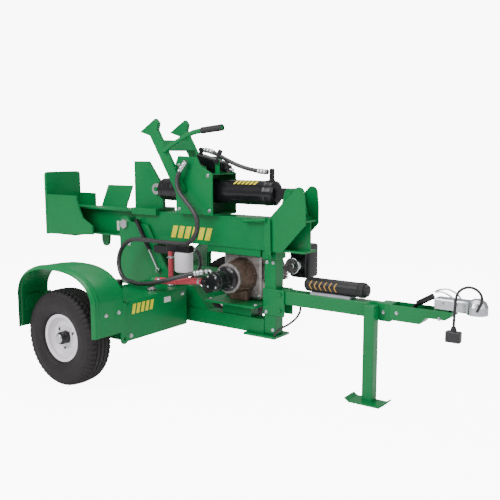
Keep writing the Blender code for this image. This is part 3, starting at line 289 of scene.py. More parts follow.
RED = finish("red_hose_rubber", (0.52, 0.050, 0.075), (0.40, 0.034, 0.055), 0.40, grain=35, relief=0.0005)
TREAD = finish("tyre_rubber", (0.020, 0.016, 0.018), (0.010, 0.008, 0.009), 0.58, grain=30, relief=0.0010)
FINISHES = {"green_paint": GREEN, "black_paint": BLACK, "white_paint": WHITE, "bright_steel": CHROME,
            "zinc_plate": PLATED,
            "cast_alloy": CAST, "cast_housing": DARK_CAST, "black_plastic": PLASTIC, "red_rubber": RED,
            "black_rubber": VINYL, "tyre_rubber": TREAD}
for paint in (GREEN, BLACK, TREAD, PLASTIC):
    paint.node_tree.nodes["Principled BSDF"].inputs["Specular IOR Level"].default_value = 0.28
SLOT_OF = {row["node"]: row["material_slot"] for row in frame["record"]["subparts"]}
for name, slot in SLOT_OF.items():
    frame["nodes"][name].data.materials.clear()
    frame["nodes"][name].data.materials.append(FINISHES[slot])


# Wheels: 5.70-8 trailer tyres with four worn-in grooves round the tread and cuts across the shoulders, on
# white
# pressed rims with a dished disc, three windows painted as black discs of shade, and a valve, held by black hubs
# with a bearing cap.
def eased(profile, reach=0.0012, closed=False):
    """A profile with its corners rounded: each corner becomes the parabola that leaves and rejoins its two
    sides."""
    p = np.asarray(profile, float)
    before, after = np.roll(p, 1, 0), np.roll(p, -1, 0)
    if not closed:
        before[0], after[-1] = p[0], p[-1]
    back, on = before - p, after - p
    far = np.stack([np.linalg.norm(back, axis=1), np.linalg.norm(on, axis=1)], 1)[:, :, None] + 1e-12
    way = np.stack([back, on], 1) / far * np.minimum(far * 0.42, reach)
    t = np.linspace(0, 1, 4)[None, :, None]
    a, b, c = (p + way[:, 0])[:, None], p[:, None], (p + way[:, 1])[:, None]
    return ((1 - t)**2 * a + 2 * t * (1 - t) * b + t**2 * c).reshape(-1, 2)


def spun(name, profile, at, towards, material, body, sides=96, closed=False, reach=0.0012, hides=(),
         shift=None):
    """A profile of radius and distance along turned round an axis; shift may move each point by its turn,
    radius
    and distance. An open profile is closed by a flat face at each end."""
    ring = eased(profile, reach, closed)
    axis = np.asarray(towards, float) / np.linalg.norm(towards)
    side = np.cross(axis, (0, 0, 1) if abs(axis[2]) < 0.9 else (1, 0, 0))
    side /= np.linalg.norm(side)
    turn = np.linspace(0, 2 * np.pi, sides, endpoint=False)[None, :]
    radius, along = np.broadcast_arrays(np.maximum(ring[:, :1], 1e-4), ring[:, 1:])
    radius, along, turn = (np.broadcast_to(v, (len(ring), sides)).copy() for v in (radius, along, turn))
    if shift:
        radius, along = shift(turn, radius, along)
    points = (np.asarray(at, float) + along[..., None] * axis
              + radius[..., None] * (np.cos(turn)[..., None] * side + np.sin(turn)[...,
                                                                                   None] * np.cross(axis,
                                                                                                    side)))
    made = piece(name, points, grid_faces(len(ring), sides, closed), material, body)
    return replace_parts(made, *hides) if hides else made


def step(value, low, high):
    """Nothing below low, one above high, and a smooth rise between."""
    t = np.clip((value - low) / (high - low), 0, 1)
    return t * t * (3 - 2 * t)


TYRE = [(0.1035, 0.042), (0.1165, 0.044), (0.121, 0.051), (0.124, 0.057), (0.136, 0.063), (0.150, 0.0675),
        (0.168, 0.0695),
        (0.185, 0.0693), (0.200, 0.068), (0.212, 0.0645), (0.222, 0.058), (0.2275, 0.051)]


def tread_rows():
    """The tyre's section: sidewall, then sixty rows across a crown that falls 5 mm from the middle to the
    shoulders."""
    across = np.linspace(0.050, -0.050, 64)
    crown = np.stack([0.2325 - 0.0045 * (across / 0.05)**2, across], 1)
    other = np.array([(r, -y) for r, y in reversed(TYRE)])
    inner = np.array([(0.1035, -0.034), (0.130, -0.048), (0.185, -0.059), (0.215, -0.045), (0.215, 0.045),
                      (0.185, 0.059), (0.130, 0.048), (0.1035, 0.034)])
    return np.vstack([TYRE, crown, other, inner])


def grooved(turn, radius, along):
    """Four grooves that zigzag round the tread, cuts across the shoulders, and three raised rings on the
    sidewall."""
    zig = 0.0016 * np.abs((turn * 30 / np.pi) % 2 - 1)
    near = np.minimum(np.abs(np.abs(along + zig) - 0.0125), np.abs(np.abs(along + zig) - 0.034))
    on_tread = step(radius, 0.2240, 0.2270)
    depth = 0.0058 * (1 - step(near, 0.0016, 0.0032))
    cuts = step(np.sin(turn * 56), 0.45, 0.75) * step(np.abs(along), 0.037, 0.041) * 0.0045
    cuts = cuts * step(radius, 0.205, 0.214)
    side = (1 - step(radius, 0.200, 0.206)) * step(radius, 0.126, 0.130)
    ribs = sum(1 - step(np.abs(radius - ring), 0.0012, 0.0030) for ring in (0.136, 0.168, 0.200))
    outer = step(np.abs(along), 0.0605, 0.0620)
    return radius - on_tread * depth - cuts, along + np.sign(along) * 0.0010 * ribs * side * outer


RIM = [(0.1155, 0.050), (0.1155, 0.0455), (0.1030, 0.044), (0.102, 0.030), (0.090, 0.020), (0.090, -0.020),
       (0.102, -0.030),
       (0.1030, -0.044), (0.1155, -0.0455), (0.1155, -0.050), (0.100, -0.048), (0.0985, -0.031),
       (0.0865, -0.021),
       (0.0865, 0.012), (0.062, 0.017), (0.046, 0.014), (0.0305, 0.014), (0.0305, 0.020), (0.046, 0.020),
       (0.052, 0.022),
       (0.058, 0.0245), (0.064, 0.0250), (0.070, 0.0245), (0.076, 0.022), (0.0865, 0.017), (0.0985, 0.031),
       (0.100, 0.048)]


def windows(turn, radius, along):
    """Four shallow hollows pressed into the disc: deep where both the turn and the radius lie near their
    middles."""
    lobe = np.hypot(((turn * 4 / (2 * np.pi)) % 1 - 0.5) * 2 * np.pi * 0.064 / 4 / 0.0085,
                    (radius - 0.063) / 0.0075)
    return radius, along - 0.0045 * (1 - step(lobe, 0.75, 1.0)) * step(along, 0.0185, 0.0195)


WHEELS = {"right": (-1, "right_wheel"), "left": (1, "left_wheel")}
for hand, (out, body) in WHEELS.items():
    centre = (AXLE, out * 0.665, 0.2325)
    spun(f"{hand}_tyre_tread", tread_rows(), centre, (0, out, 0), TREAD, body, 448, True, 0.0006,
         [f"{hand}_tyre"], grooved)
    spun(f"{hand}_rim_pressing", RIM, centre, (0, out, 0), WHITE, body, 224, True, 0.0018, [f"{hand}_rim"],
         windows)
    spun(f"{hand}_hub_barrel", [(0.0133, -0.050), (0.030, -0.050), (0.030, 0.009), (0.045, 0.0095),
                                (0.045, 0.0150), (0.030, 0.0157),
         (0.030, 0.054), (0.0245, 0.056), (0.0245, 0.060), (0.0225, 0.0635), (0.0133, 0.0635)],
         centre, (0, out, 0), BLACK, body, 72, True, 0.0012, [f"{hand}_hub"])
    spun(f"{hand}_bearing_cap", [(0.0225, 0.0600), (0.0225, 0.0655), (0.0190, 0.0690),
                                         (0.0120, 0.0700), (0.0, 0.0702)],
                 centre, (0, out, 0), PLATED, body, 48)
    # The rim's three windows are black discs: painted shade for the dark seen through the disc's openings.
    for k, a in enumerate(np.arange(3) * 2 * np.pi / 3 + 0.4):
        spun(f"{hand}_rim_window_{k + 1}", [(0.0, -0.003), (0.0105, -0.003), (0.0105, 0.0006),
                                                    (0.0, 0.0006)],
                     (AXLE + 0.056 * np.cos(a), out * (0.665 + 0.0240), 0.2325 + 0.056 * np.sin(a)),
                     (0, out, 0), PLASTIC, body, 3)
    stem = [(AXLE + 0.078, out * (0.665 + 0.012 + 0.034 * t),
             0.2325 + 0.030 + 0.006 * t) for t in np.linspace(0, 1, 8)]
    tube(f"{hand}_valve_stem", stem, 0.0036, PLASTIC, body, 14)


def bolts(name, places, towards, size, material, body):
    """Hexagon heads on washers, all one mesh: rings of six corners for the head, under a domed top, on a
    round washer."""
    axis = np.asarray(towards, float) / np.linalg.norm(towards)
    side = np.cross(axis, (0, 0, 1) if abs(axis[2]) < 0.9 else (1, 0, 0))
    side /= np.linalg.norm(side)
    turn = np.linspace(0, 2 * np.pi, 24, endpoint=False)[None, :]
    flat = 1 / np.cos((turn + np.pi / 6) % (np.pi / 3) - np.pi / 6)
    rows = np.array([(1.15, 0, 0), (1.15, 0.12, 0), (1.10, 0.18, 0), (0.80, 0.18, 1), (0.80, 0.68, 1),
                     (0.74, 0.78, 1),
                     (0.40, 0.82, 0), (0.01, 0.83, 0)])
    radius = rows[:, :1] * (1 + rows[:, 2:] * (flat - 1)) * size
    shape = (rows[:, 1, None, None] * size * axis
             + radius[..., None] * (np.cos(turn)[..., None] * side + np.sin(turn)[...,
                                                                                  None] * np.cross(axis,
                                                                                                   side)))
    places = np.asarray(places, float)
    faces = np.array(grid_faces(len(rows), 24, caps=False))
    count = shape.size // 3
    every = np.concatenate([faces + count * k for k in range(len(places))]).tolist()
    every += [[count * k + j for j in reversed(range(24))] for k in range(len(places))]
    every += [[count * k + count - 24 + j for j in range(24)] for k in range(len(places))]
    return piece(name, places[:, None, None] + shape, every, material, body)


for hand, (out, body) in WHEELS.items():
    ring = np.arange(4) * np.pi / 2 + np.pi / 4
    bolts(f"{hand}_hub_bolts", [(AXLE + 0.0375 * np.cos(a), out * 0.6812,
                                 0.2325 + 0.0375 * np.sin(a)) for a in ring],
          (0, out, 0), 0.0058, PLATED, body)


# Fenders: one pressed sheet each, rolled over the wheel, with a raised swage near its outer edge and a
# rolled lip.
# Two plated bolts through the front skirt hold it to its arm.
def fender_sheet(hand, out):
    """A section across the fender carried over its side line: skirts, and an arch whose height follows a
    sine."""
    a = np.linspace(0, np.pi, 90)
    over = np.stack([0.27 * np.abs(np.cos(a))**0.8 * np.sign(np.cos(a)), 0.426 + 0.150 * np.sin(a)], 1)
    line = np.vstack([[(0.27, 0.274), (0.27, 0.35)], over, [(-0.27, 0.35), (-0.27, 0.255)]])
    way = np.gradient(line, axis=0)
    way /= np.linalg.norm(way, axis=1)[:, None]
    normal = np.stack([way[:, 1], -way[:, 0]], 1)
    across = np.linspace(0, 1, 60)
    y = 0.5685 + 0.1875 * across
    rise = (0.0050 * np.exp(-((y - 0.7300) / 0.0045)**2) - 0.010 * step(y, 0.746,
                                                                        0.756) + 0.004 * np.sin(np.pi * across)
            + 0.0030 * np.exp(-((y - 0.742) / 0.0035)**2))
    top = np.stack([y, rise + 0.0012], 1)
    under = np.stack([y, rise - 0.0018], 1)[::-1]
    section = np.vstack([top, under])
    points = np.stack([
        AXLE + line[:, None, 0] + normal[:, None, 0] * section[None, :, 1],
        np.broadcast_to(out * section[None, :, 0], (len(line), len(section))),
        line[:, None, 1] + normal[:, None, 1] * section[None, :, 1]], -1)
    made = piece(f"{hand}_fender_sheet", points, grid_faces(len(line), len(section)), GREEN, "frame")
    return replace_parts(made, f"{hand}_fender")


for hand, (out, body) in WHEELS.items():
    fender_sheet(hand, out)
    bolts(f"{hand}_fender_bolts", [(AXLE + 0.2725, out * 0.600, 0.372),
                                   (AXLE + 0.2740, out * 0.680, 0.372)], (1, 0, 0), 0.0085,
          PLATED, "frame")
    bolts(f"{hand}_fender_rear_bolts", [(AXLE - 0.2725, out * 0.600, 0.372),
                                        (AXLE - 0.2740, out * 0.680, 0.372)], (-1, 0, 0),
          0.0085, PLATED, "frame")


# Cylinder: a gloss black barrel with a weld ring at its base and a screwed gland, and a ground chrome rod.
# Its tang and eye are welded to the barrel's closed end and pinned to the beam's anchor.
RAM_Z = float((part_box("ram_rod")[0][2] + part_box("ram_rod")[1][2]) / 2)
ALONG = (1, 0, 0)
barrel = spun("cylinder_barrel_tube", [(0.0509, 0.0565), (0.060, 0.0565), (0.060, 0.080), (0.0605, 0.081),
                                       (0.0605, 0.118), (0.060, 0.119),
     (0.060, 0.690), (0.0625, 0.698), (0.0625, 0.704), (0.060, 0.712), (0.060, 0.745), (0.045, 0.755),
     (0.0, 0.755)],
     (AXLE, 0, RAM_Z), ALONG, BLACK, "beam", 128)
spun("cylinder_end_cap", [(0.0255, 0.0210), (0.054, 0.0215), (0.058, 0.0300), (0.058, 0.0535),
                                  (0.0509, 0.0555), (0.0255, 0.0555)],
     (AXLE, 0, RAM_Z), ALONG, BLACK, "beam", 96, True, hides=["cylinder_gland"])
spun("cylinder_eye_boss", [(0.0135, -0.028), (0.0265, -0.028), (0.028, -0.0265), (0.028, 0.0265),
                           (0.0265, 0.028), (0.0135, 0.028)],
     (AXLE + 0.848, 0, RAM_Z), (0, 1, 0), BLACK, "beam", 64, True)


def slab(name, low, high, material, body, ease=0.004):
    """A block whose section is a rectangle with rounded corners, carried straight up between two heights."""
    (x0, y0, z0), (x1, y1, z1) = low, high
    turn = np.linspace(0, 2 * np.pi, 40, endpoint=False) + np.pi / 40
    corner = np.stack([np.sign(np.cos(turn)) * ((x1 - x0) / 2 - ease) + ease * np.cos(turn) + (x0 + x1) / 2,
                       np.sign(np.sin(turn)) * ((y1 - y0) / 2 - ease) + ease * np.sin(turn) + (y0 + y1) / 2], 1)
    middle = corner.mean(0)
    inset = 1 - 2 * ease * 0.3 / min(x1 - x0, y1 - y0)
    rows = [(z0, inset), (z0 + ease * 0.3, 1), (z1 - ease * 0.3, 1), (z1, inset)]
    points = [np.column_stack([(corner - middle) * share + middle, np.full(40, z)]) for z, share in rows]
    return piece(name, np.array(points), grid_faces(4, 40), material, body)


slab("cylinder_tang", (AXLE + 0.745, -0.028, RAM_Z - 0.026), (AXLE + 0.828, 0.028, RAM_Z + 0.026), BLACK,
     "beam")
spun("cylinder_base_port", [(0.0155, 0.0), (0.0155, 0.012), (0.0125, 0.016), (0.0125, 0.066), (0.0, 0.068)],
            (AXLE + 0.722, 0, RAM_Z + 0.052), (0, 0, 1), BLACK, "beam", 48)
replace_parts(barrel, "cylinder_barrel")


# Engine side: a cast bell housing on the crank side of a small petrol engine, with a gear pump bolted to it.
# The housing is dull bronze-grey casting with ribs, the pump is black, and its fittings are zinc plated.
CRANK = (AXLE + 0.530, 0.020, 0.485)


def ribbed(turn, radius, along):
    """Eight low ribs round the housing's cone, each a bump in the turn that fades out at both ends."""
    bump = step(np.cos(turn * 8), 0.86, 0.97) * step(along, 0.016, 0.030) * (1 - step(along, 0.098, 0.110))
    return radius + 0.0035 * bump * step(radius, 0.069, 0.071), along


spun("bell_casting", [(0.030, 0.120), (0.066, 0.120), (0.0665, 0.1125), (0.072, 0.110), (0.075, 0.090),
                      (0.078, 0.070), (0.081, 0.052),
     (0.085, 0.034), (0.088, 0.016), (0.0905, 0.013), (0.0905, 0.0), (0.078, 0.0), (0.070, 0.050),
     (0.060, 0.108),
     (0.030, 0.108)], CRANK, (0, -1, 0), DARK_CAST, "frame", 192, True, hides=["bell_housing"], shift=ribbed)
slab("bell_casting_foot", (AXLE + 0.475, -0.020, 0.3625), (AXLE + 0.585, 0.018, 0.413), DARK_CAST, "frame",
     0.006)
spun("bell_front_ring", [(0.050, 0.1205), (0.070, 0.1205), (0.070, 0.1100), (0.0745, 0.1100),
                                 (0.0745, 0.1235), (0.050, 0.1235)],
             CRANK, (0, -1, 0), CAST, "frame", 96, True)
turns = np.arange(8) * np.pi / 4 + 0.2
bolts("bell_rim_bolts", [(CRANK[0] + 0.0845 * np.cos(a), 0.0075,
                          0.485 + 0.0845 * np.sin(a)) for a in turns], (0, -1, 0), 0.0052,
      PLATED, "frame")
pump = spun("pump_body", [(0.0135, 0.0), (0.062, 0.0), (0.062, 0.016), (0.047, 0.020), (0.047, 0.048),
                          (0.0485, 0.050),
     (0.0485, 0.060), (0.047, 0.062), (0.047, 0.096), (0.0485, 0.098), (0.0485, 0.106), (0.045, 0.110),
     (0.043, 0.126),
     (0.036, 0.130), (0.0, 0.130)], (CRANK[0], -0.1040, 0.485), (0, -1, 0), BLACK, "frame", 96)
spun("pump_inlet_neck", [(0.0, 0.0), (0.0190, 0.0), (0.0190, 0.050), (0.0225, 0.052), (0.0225, 0.066),
                         (0.0185, 0.068), (0.0, 0.068)],
     (AXLE + 0.510, -0.190, 0.472), (-1, 0, 0), BLACK, "frame", 48)
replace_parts(pump, "hydraulic_pump")
turns = np.arange(4) * np.pi / 2 + np.pi / 4
bolts("pump_flange_bolts", [(CRANK[0] + 0.054 * np.cos(a), -0.1190,
                             0.485 + 0.054 * np.sin(a)) for a in turns], (0, -1, 0), 0.0060,
      PLATED, "frame")
bolts("pump_end_bolts", [(CRANK[0] + 0.034 * np.cos(a), -0.2335,
                          0.485 + 0.034 * np.sin(a)) for a in turns], (0, -1, 0), 0.0050,
      PLATED, "frame")
elbow = walk(ahead_of_axle([(0.505, -0.205, 0.478), (0.507, -0.2045, 0.500), (0.506, -0.2035, 0.520),
                            (0.498, -0.203, 0.532),
                            (0.486, -0.2035, 0.5315), (0.474, -0.2060, 0.5285)]), 60)
share = np.linspace(0, 1, 60)
nuts = 0.0085 + 0.0042 * ((share < 0.22) | (share > 0.80))
tube("pump_outlet_elbow", elbow, nuts, PLATED, "frame", 24)


# Engine: a cast block with a finned cylinder, a fuel tank and cowl above, a recoil starter with vent
# slots, and a
# round muffler. The cowl and tank are black, the castings bare aluminium.
fins = np.arange(9) * 0.0085
for k, rise in enumerate(fins):
    slab(f"cylinder_fin_{k + 1}", (AXLE + 0.628, 0.035, 0.470 + rise),
         (AXLE + 0.7325, 0.150, 0.4735 + rise), CAST, "frame", 0.010)
bolts("engine_side_bolts", [(AXLE + x, 0.0195, z) for x,
                            z in ((0.430, 0.575), (0.630, 0.575), (0.430, 0.385), (0.630, 0.385))],
      (0, -1, 0), 0.0062, PLATED, "frame")
bolts("engine_foot_bolts", [(AXLE + x, y, 0.3625) for x in (0.400, 0.680) for y in (-0.080, 0.060, 0.240)],
      (0, 0, 1), 0.0080,
      PLATED, "frame")


def slotted(turn, radius, along):
    """Twenty-four vent slots round the starter's face, sunk 5 mm where the turn and the radius both lie
    inside them."""
    slot = step(np.cos(turn * 24), 0.2, 0.5) * step(radius, 0.046, 0.049) * (1 - step(radius, 0.080, 0.083))
    return radius, along - 0.005 * slot * step(along, 0.074, 0.080)


cowl = spun("starter_cowl", [(0.0, 0.0), (0.118, 0.0), (0.1175, 0.020), (0.115, 0.040), (0.106, 0.062),
                             (0.094, 0.078), (0.084, 0.084),
     (0.080, 0.0855), (0.074, 0.0875), (0.066, 0.0895), (0.058, 0.0915), (0.050, 0.0935), (0.044, 0.096),
     (0.038, 0.099), (0.030, 0.100), (0.0, 0.100)],
     (CRANK[0], 0.2003, 0.490), (0, 1, 0), BLACK, "frame", 288, shift=slotted)
slab("fuel_tank_shell", (AXLE + 0.420, 0.072, 0.600), (AXLE + 0.650, 0.290, 0.7395), BLACK, "frame", 0.030)
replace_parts(cowl, "engine_cover")
spun("fuel_cap", [(0.0, 0.0), (0.026, 0.0), (0.027, 0.003), (0.027, 0.010), (0.022, 0.0125), (0.0, 0.0135)],
     (AXLE + 0.535, 0.181, 0.7390), (0, 0, 1), PLASTIC, "frame", 64)
slab("air_cleaner_cover", (AXLE + 0.705, 0.186, 0.470), (AXLE + 0.8195, 0.2995, 0.640), BLACK, "frame", 0.022)
muffler = spun("muffler_drum", [(0.0, 0.060), (0.010, 0.060), (0.012, 0.057), (0.030, 0.0565),
                                (0.033, 0.0590), (0.039, 0.0590), (0.042, 0.056),
     (0.042, 0.0), (0.0, 0.0)], (AXLE + 0.750, 0.200, 0.535), (0, -1, 0), CHROME, "frame", 72)
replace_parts(muffler, "air_cleaner")


# Return filter and its pipes: a white spin-on canister under a black head, and red rubber hoses held by
# worm clamps.
# The canister has a rolled seam at its foot; its top is drawn round, without the wrench flats.
spun("filter_canister", [(0.0, 0.105), (0.0435, 0.105), (0.0455, 0.1025), (0.0455, 0.0985), (0.048, 0.096),
                         (0.048, 0.012), (0.0470, 0.006),
     (0.0440, 0.002), (0.036, 0.0), (0.030, 0.0022), (0.0, 0.0030)], (AXLE + 0.241, -0.100, 0.488),
     (0, 0, 1), WHITE, "frame", 96,
     hides=["oil_filter"])


def clamp(name, at, towards, radius):
    """A worm clamp: a thin band round the hose, with its screw housing lying across it."""
    band = [(radius, -0.006), (radius + 0.0012, -0.006), (radius + 0.0012, 0.006), (radius, 0.006)]
    spun(f"{name}_band", band, at, towards, PLATED, "frame", 60, True, 0.0004)
    axis = np.asarray(towards, float) / np.linalg.norm(towards)
    side = np.cross(axis, (0, 0, 1)) if abs(axis[2]) < 0.9 else np.array([0, -1.0, 0])
    side = side / np.linalg.norm(side)
    screw = np.asarray(at) + side * (radius + 0.004)
    spun(f"{name}_screw", [(0.0, -0.009), (0.0038, -0.009), (0.0038, 0.009), (0.0, 0.009)], screw,
                 np.cross(axis, side),
                 PLATED, "frame", 24)


suction_path = walk(ahead_of_axle([
    (0.1807, -0.2442, 0.4595), (0.205, -0.2396, 0.4600), (0.250, -0.230, 0.461), (0.320, -0.210, 0.465),
    (0.385, -0.193, 0.470), (0.415, -0.190, 0.472), (0.4395, -0.190, 0.472)]), 120)
suction = cord("suction_hose_rubber", suction_path, 0.033, "object", RED, ["suction_hose"], "frame",
               lay="taut")
clamp("suction_tank_clamp", suction_path[8], suction_path[10] - suction_path[6], 0.0166)
clamp("suction_pump_clamp", suction_path[-9], suction_path[-7] - suction_path[-11], 0.0166)
spun("return_riser", [(0.0, 0.0), (0.0135, 0.0), (0.0135, 0.1765), (0.0, 0.1765)],
     (AXLE + 0.155, -0.105, 0.4164), (0, 0, 1),
             RED, "frame", 60, hides=["return_pipe"])
clamp("return_low_clamp", (AXLE + 0.155, -0.105, 0.436), (0, 0, 1), 0.0136)
clamp("return_high_clamp", (AXLE + 0.155, -0.105, 0.560), (0, 0, 1), 0.0136)
for spot in ((0.155, -0.105), (0.150, -0.250)):
    spun(f"tank_port_nut_{int(-spot[1] * 1000)}",
                 [(0.0142, 0.0), (0.024, 0.0), (0.024, 0.006), (0.0200, 0.008), (0.0200, 0.018),
                  (0.0142, 0.018)],
                 (AXLE + spot[0], spot[1], 0.4085), (0, 0, 1), PLATED, "frame", 48, True)


# Tongue fittings: a black document tube with a push-on cap in a grey cradle strip, its print a band of
# plain gold
# chevrons, and snap pins, bolts and a ball coupler in plated steel.
spun("document_tube_shell", [(0.0, 0.0), (0.022, 0.002), (0.0325, 0.012), (0.0345, 0.022),
                             (0.0345, 0.2845), (0.031, 0.2845), (0.031, 0.020),
     (0.0, 0.016)], (AXLE + 0.919, 0, 0.4872), ALONG, PLASTIC, "frame", 96, hides=["document_tube"])


def knurled(turn, radius, along):
    """Thirty-six shallow flutes round the cap's skirt for the fingers."""
    return radius - 0.0012 * step(np.cos(turn * 36), 0.1, 0.6) * step(radius, 0.034, 0.0355), along


spun("document_cap_shell", [(0.0, 0.0003), (0.036, 0.0003), (0.036, 0.010), (0.0355, 0.024),
                            (0.034, 0.028), (0.028, 0.030), (0.028, 0.034), (0.026, 0.041),
     (0.0, 0.041)], (AXLE + 1.204, 0, 0.4872), ALONG, PLASTIC, "document_tube_cap", 216,
     hides=["document_tube_cap"], shift=knurled)
STRIP = finish("grey_strip", (0.36, 0.37, 0.40), (0.28, 0.29, 0.32), 0.4, 0.3, grain=30, relief=0.0003)
slab("document_tube_strip", (AXLE + 0.960, -0.0332, 0.4434), (AXLE + 1.170, 0.0332, 0.4560), STRIP,
     "frame", 0.003)
GOLD = finish("gold_print", (0.55, 0.30, 0.035), (0.36, 0.17, 0.020), 0.5, grain=120, relief=0.0002)
for k in range(6):
    t = np.linspace(-1, 1, 9)[:, None]
    angle = np.pi * (0.02 + 0.20 * t)
    x = AXLE + 0.955 + 0.026 * k + 0.010 * np.abs(t) + np.array([[0, 0.006]])
    points = np.stack([x, -0.0347 * np.cos(angle) + 0 * x, 0.4872 + 0.0347 * np.sin(angle) + 0 * x], -1)
    piece(f"tube_chevron_{k + 1}", points, [(2 * i, 2 * i + 1, 2 * i + 3,
                                                     2 * i + 2) for i in range(8)], GOLD, "frame")


def struck(node, start, towards):
    """Where a straight line from a point first meets a piece."""
    bpy.context.view_layer.update()
    hit, spot, _, _ = bpy.data.objects[node].ray_cast(start, towards)
    return np.array(spot) if hit else None


def print_on(name, node, quads, towards, material, body, proud=0.0004):
    """Flat marks laid on a node's face: each four-cornered mark is thrown along a line onto the face and
    lifted by
    a hair's breadth."""
    way = np.asarray(towards, float)
    found = [[struck(node, tuple(corner), tuple(way)) for corner in quad] for quad in quads]
    found = [quad for quad in found if all(spot is not None for spot in quad)]
    points = np.array(found) - way * proud
    made = piece(name, points, [tuple(range(4 * k, 4 * k + 4)) for k in range(len(found))], material, body,
                 smooth=False)
    return made


# Printed marks: slanting yellow bars on the beam's side, the tank's front and the barrel, and a plain white plate
# on the beam and the tank; the yellow warning triangle on the foot plate is left out. None of them carries any
# lettering.
YELLOW = finish("yellow_print", (0.84, 0.74, 0.010), (0.72, 0.60, 0.006), 0.35, coat=0.2, grain=60,
                relief=0.0001)
PALE_PRINT = finish("white_print", (0.72, 0.72, 0.70), (0.55, 0.55, 0.56), 0.45, grain=70, relief=0.0001)


def bars(across, low, high, count, width, pitch, lean, place):
    """Corners of slanting bars: place turns a distance along and a height into a point."""
    starts = across + pitch * np.arange(count)
    return [[place(s, low), place(s + width, low), place(s + width + lean, high),
             place(s + lean, high)] for s in starts]


print_on("beam_bars", "splitting_beam", bars(0.115, 0.658, 0.722, 6, 0.032, 0.046, 0.020, lambda s,
                                             z: (AXLE + s, -0.5, z)),
         (0, 1, 0), YELLOW, "beam")
print_on("tank_bars", "hydraulic_tank", bars(-0.480, 0.335, 0.383, 5, 0.020, 0.031, 0.012, lambda s,
                                             z: (AXLE + 0.5, s, z)),
         (-1, 0, 0), YELLOW, "frame")
print_on("tank_plate", "hydraulic_tank", bars(-0.250, 0.350, 0.378, 1, 0.050, 1, 0, lambda s,
                                              z: (AXLE + 0.5, s, z)),
         (-1, 0, 0), PALE_PRINT, "frame")
print_on("beam_plate", "splitting_beam", bars(-0.345, 0.660, 0.715, 1, 0.095, 1, 0, lambda s,
                                              z: (AXLE + s, -0.5, z)),
         (0, 1, 0), PALE_PRINT, "beam")
print_on("barrel_bars", "cylinder_barrel_tube",
         bars(0.520, -0.012, 0.014, 6, 0.014, 0.024, 0.008, lambda s,
              h: (AXLE + s, -0.3 + 0.8 * h, RAM_Z + 0.4 + 0.6 * h)),
         (0, 0.6, -0.8), YELLOW, "beam", 0.0022)


# Fasteners on the frame and beam: plated hexagon bolts where the plates, tower, post and tongue are joined.
def bolted(name, node, starts, towards, size, body):
    """Bolts whose heads sit on a node's face where a line from each start first meets it."""
    found = [struck(node, tuple(start), tuple(towards)) for start in starts]
    found = [spot for spot in found if spot is not None]
    return bolts(name, found, -np.asarray(towards, float), size, PLATED, body) if found else None


bolted("tank_face_bolts", "hydraulic_tank", [(AXLE + 0.5, y, z) for y,
                                             z in ((-0.110, 0.375), (-0.488, 0.232))], (-1, 0, 0),
       0.0095, "frame")
bolted("tongue_root_bolts", "tongue", [(AXLE + x, -0.5, z) for x,
                                       z in ((0.800, 0.425), (0.800, 0.392), (1.337, 0.410))], (0, 1, 0),
       0.0070, "frame")
bolted("post_side_bolts", "latch_post", [(AXLE + x, -0.5, z) for x,
                                         z in ((0.718, 0.575), (0.754, 0.575), (0.718, 0.330),
                                               (0.754, 0.240))],
       (0, 1, 0), 0.0080, "frame")
bolted("tower_bolts", "right_tower_plate", [(AXLE + x, -0.5, z) for x,
                                            z in ((0.090, 0.345), (-0.030, 0.345), (-0.180, 0.600))],
       (0, 1, 0), 0.0090, "frame")
bolted("valve_box_bolts", "valve_box", [(AXLE + x, -0.5, z) for x,
                                        z in ((0.215, 0.815), (0.413, 0.815), (0.215, 1.040),
                                              (0.405, 0.990))],
       (0, 1, 0), 0.0085, "beam")
bolted("channel_bolts", "tongue_channel", [(AXLE + x, -0.5, 0.415) for x in (1.400, 1.590)], (0, 1, 0),
       0.0070, "frame")
bolted("coupler_bolts", "coupler", [(AXLE + x, -0.5, 0.480) for x in (1.600, 1.655)], (0, 1, 0), 0.0075,
       "frame")
GRIPS = finish("grip_rubber", (0.016, 0.016, 0.018), (0.008, 0.008, 0.009), 0.52, grain=70, relief=0.0010)
frame["nodes"]["handle_grip"].data.materials[0] = GRIPS


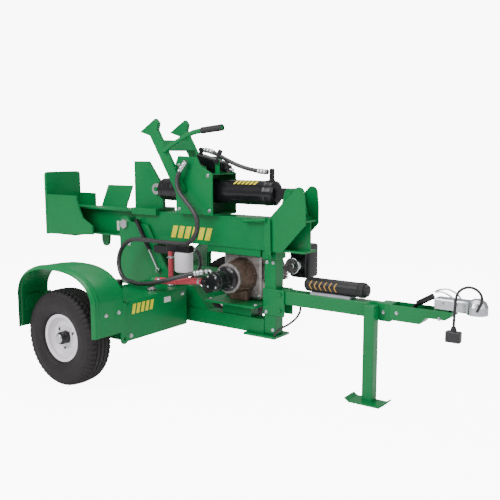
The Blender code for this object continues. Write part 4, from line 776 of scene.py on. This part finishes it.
# Studio: a plain pale floor that runs back out of sight, and soft lights from the right and above. The
# backdrop
# and floor glow more where they are seen than where they light the machine.
def area_light(name, at, towards, side, watts):
    """A square soft light turned to face a point."""
    lamp = bpy.data.lights.new(name, "AREA")
    lamp.energy = watts
    lamp.size = side
    made = bpy.data.objects.new(name, lamp)
    bpy.context.scene.collection.objects.link(made)
    made.location = at
    made.rotation_euler = (Vector(at) - Vector(towards)).to_track_quat("Z", "Y").to_euler()


area_light("key_light", (-1.0, -4.2, 3.6), (0, 0, 0.5), 3.0, 230)
area_light("front_light", (4.2, -1.0, 2.4), (0, 0, 0.5), 2.4, 50)
area_light("top_light", (0, 0.5, 4.6), (0, 0, 0.5), 3.6, 130)
world = bpy.data.worlds.new("studio")
bpy.context.scene.world = world
world.use_nodes = True
SKY, FLOOR_GLOW = (0.55, 9.0), (0.0, 8.4)


def seen_brighter(tree, plain, straight, socket):
    """A strength of plain for light that falls on the machine, and straight where the backdrop itself is
    seen."""
    path = tree.nodes.new("ShaderNodeLightPath")
    pick = tree.nodes.new("ShaderNodeMapRange")
    pick.inputs["To Min"].default_value = plain
    pick.inputs["To Max"].default_value = straight
    tree.links.new(path.outputs["Is Camera Ray"], pick.inputs["Value"])
    tree.links.new(pick.outputs["Result"], socket)


world.node_tree.nodes["Background"].inputs["Color"].default_value = (1.0, 1.0, 1.0, 1)
seen_brighter(world.node_tree, *SKY, world.node_tree.nodes["Background"].inputs["Strength"])
PALE = bpy.data.materials.new("pale_floor")
PALE.use_nodes = True
PALE.node_tree.nodes["Principled BSDF"].inputs["Base Color"].default_value = (1.0, 1.0, 1.0, 1)
PALE.node_tree.nodes["Principled BSDF"].inputs["Roughness"].default_value = 0.8
PALE.node_tree.nodes["Principled BSDF"].inputs["Emission Color"].default_value = (1.0, 1.0, 1.0, 1)
seen_brighter(PALE.node_tree, *FLOOR_GLOW,
              PALE.node_tree.nodes["Principled BSDF"].inputs["Emission Strength"])
FLOOR = 40.0
floor = piece("floor", [(-FLOOR, -FLOOR, -0.001), (FLOOR, -FLOOR, -0.001), (FLOOR, FLOOR, -0.001),
                        (-FLOOR, FLOOR, -0.001)],
              [(0, 1, 2, 3)], PALE, None, smooth=False)
